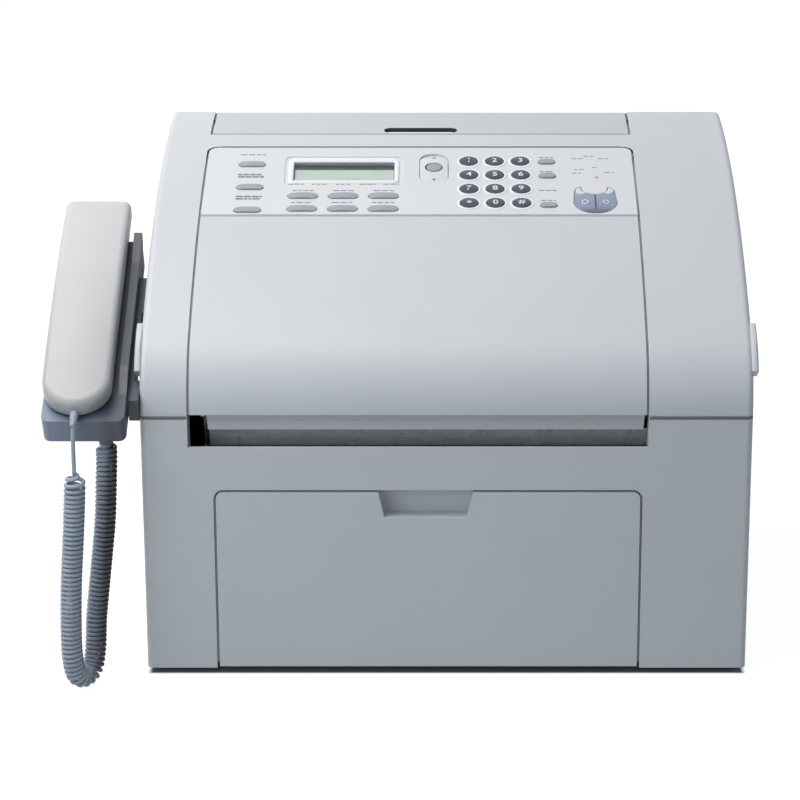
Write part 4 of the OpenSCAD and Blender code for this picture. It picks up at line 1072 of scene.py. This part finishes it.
def add_start_stop_marks():
    """A hexagon and a lozenge, moulded on the stop and start keys."""
    for side, corners, key in ((-1, 6, "stop"), (1, 4, "start")):
        top = key_top(key + "_key")
        bm = bmesh.new()
        x0, y0 = side * 7 * MM, -2 * MM
        rings = []
        for radius, rise in ((2.6, 0.0), (2.5, 0.12), (1.9, 0.12), (1.8, 0.0)):
            ring = []
            for k in range(corners):
                a = 2 * math.pi * (k + 0.5 * (corners == 6)) / corners
                x, y = x0 + radius * MM * math.cos(a), y0 + 1.2 * radius * MM * math.sin(a)
                ring.append(Vector((FAN.x + x, FAN.y + y, dome_height(x, y, top, 90 * MM) + (rise - 0.02) * MM)))
            rings.append(ring)
        skin(bm, rings, caps=False)
        piece(key + "_mark", bm, "blue_plastic", f"body_{key}_key", PANEL, smooth=False, material=INK_PALE)


add_digits()
add_key_rings()
add_legends()
add_display()
add_nav_marks()
add_fan_tips()
add_start_stop_marks()
add_lamp()


# ---- fasteners, contacts and the drum ----

ZINC = sheet_steel("zinc", (0.62, 0.62, 0.60), 0.3)
GOLD = sheet_steel("gold_contacts", (0.80, 0.58, 0.26), 0.25)


def screw_head(bm, place, radius, height):
    """A pan head with a cross recess; place's z is the outward direction."""
    def ring(r, z, cross=0.0):
        points = []
        for a in angles(48):
            pinch = 1 - cross * (0.5 - 0.5 * math.cos(4 * a)) ** 0.5
            points.append(place @ Vector((r * pinch * math.cos(a), r * pinch * math.sin(a), z)))
        return points
    skin(bm, [ring(radius, -0.2 * height), ring(radius, 0.35 * height), ring(0.93 * radius, 0.7 * height),
              ring(0.75 * radius, 0.92 * height), ring(0.6 * radius, height), ring(0.56 * radius, height, 0.72),
              ring(0.40 * radius, 0.25 * height, 0.72)])


def facing(point, normal):
    return Matrix.Translation(point) @ Vector(normal).to_track_quat("Z", "Y").to_matrix().to_4x4()


def add_screws():
    bm = bmesh.new()
    back = extents("rear_cover")[1].y
    corners = [(x, z) for x in (-0.184, 0.184) for z in (0.016, 0.165)]
    for x, z in corners + [(-0.060, 0.016), (0.070, 0.016)]:
        screw_head(bm, facing(Vector((x, back, z)), (0, 1, 0)), 3.2 * MM, 1.3 * MM)
    piece("rear_screws", bm, "steel", "chassis", material=ZINC)
    bm = bmesh.new()
    for x in (-0.164, 0.164):
        for y in (-0.112, 0.112):
            screw_head(bm, facing(Vector((x, y, 2 * MM)), (0, 0, -1)), 2.7 * MM, 1.2 * MM)
    piece("foot_screws", bm, "steel", "chassis", material=ZINC)


def add_contacts():
    """Six sprung gold wires in each of the three sockets."""
    bm = bmesh.new()
    for name in ("line_socket", "extension_socket", "data_socket"):
        mouth = Vector(next(m for m in frame["record"]["mounts"] if m["name"] == name)["pos_m"])
        for k in range(6):
            x = mouth.x + (k - 2.5) * 1.25 * MM
            line = [Vector((x, mouth.y - back * MM, mouth.z + z * MM))
                    for back, z in ((14.8, 3.9), (9, 3.6), (6, 3.4), (4.6, 2.8), (5.2, 1.8), (9, -0.2), (13, -1.2))]
            skin(bm, tube(line, 0.28 * MM, 8, (1, 0, 0)))
    piece("socket_contacts", bm, "black_plastic", "chassis", material=GOLD)


def add_drum_sleeve():
    """The coated sleeve of the cartridge's drum."""
    low, high = extents("toner_cartridge")
    axis = Vector((0, FRONT_Y + 0.078, 0.139))
    green = glossy_plastic("drum_coat", (0.03, 0.20, 0.19), 0.12, coat=1.0)
    rings = []
    for x, radius in ((low.x + 11 * MM, 14.9), (low.x + 11 * MM, 15.3), (low.x + 12 * MM, 15.4),
                      (high.x - 12 * MM, 15.4), (high.x - 11 * MM, 15.3), (high.x - 11 * MM, 14.9)):
        rings.append([Vector((x, axis.y + radius * MM * math.cos(a), axis.z + radius * MM * math.sin(a)))
                      for a in angles(96)])
    bm = bmesh.new()
    skin(bm, rings, caps=False)
    piece("drum_sleeve", bm, "dark_plastic", "chassis", material=green)


def hit(node, origin, direction):
    """Where a line first meets a node."""
    return frame["nodes"][node].ray_cast(Vector(origin), Vector(direction))[1]


def add_seam_line():
    """Dark shadow line under the seam of the two housings, from each side of the cover round to the back."""
    z = SEAM_Z - 1.2 * MM
    corner = 10 * MM
    section = ((-0.4, -1.0), (0.10, -0.9), (0.10, 1.0), (-0.4, 1.1))
    for side, start, name in ((-1, COVER_X[0] - 0.4 * MM, "left"), (1, COVER_X[1] + 0.4 * MM, "right")):
        centre = Vector((side * (BODY_WIDTH / 2 - corner), FRONT_Y + corner, z))
        turns = [math.radians(4.5 * k) for k in range(21)]
        ways = [Vector((side * math.sin(a), -math.cos(a), 0)) for a in turns]
        rays = [(Vector((start, centre.y, z)), ways[0])] + [(centre, way) for way in ways]
        rays.append((Vector((centre.x, -FRONT_Y - 3 * MM, z)), ways[-1]))
        rings = []
        for base, way in rays:
            edge = hit("lower_housing", base + 0.1 * way, -way)
            rings.append([edge + out * MM * way + Vector((0, 0, rise * MM)) for out, rise in section])
        bm = bmesh.new()
        skin(bm, rings)
        piece(f"seam_line_{name}", bm, "dark_plastic", "chassis", material=SEAM_PAINT)


def add_lid_liners():
    """Strips that close the rear ends of the gaps beside the document lid."""
    bm = bmesh.new()
    section = ((0.1, -4.5), (1.25, -4.5), (1.25, -0.6), (0.1, -0.6))
    for edge, inward in zip(COVER_X, (1, -1)):
        rings = []
        for back in (266, 270, 274, 278, 282.5):
            y = FRONT_Y + back * MM
            top = hit("upper_housing", (edge - inward * 1.2 * MM, y, 0.4), (0, 0, -1)).z
            rings.append([Vector((edge + inward * x * MM, y, top + z * MM)) for x, z in section])
        skin(bm, rings)
    piece("lid_gap_liners", bm, "dark_plastic", "chassis", smooth=False)


SEAM_PAINT = moulded("seam_shadow", (0.13, 0.135, 0.145), 0.5, paler_edges=0.0, edge=0.1 * MM)
add_screws()
add_contacts()
add_drum_sleeve()
add_seam_line()
add_lid_liners()
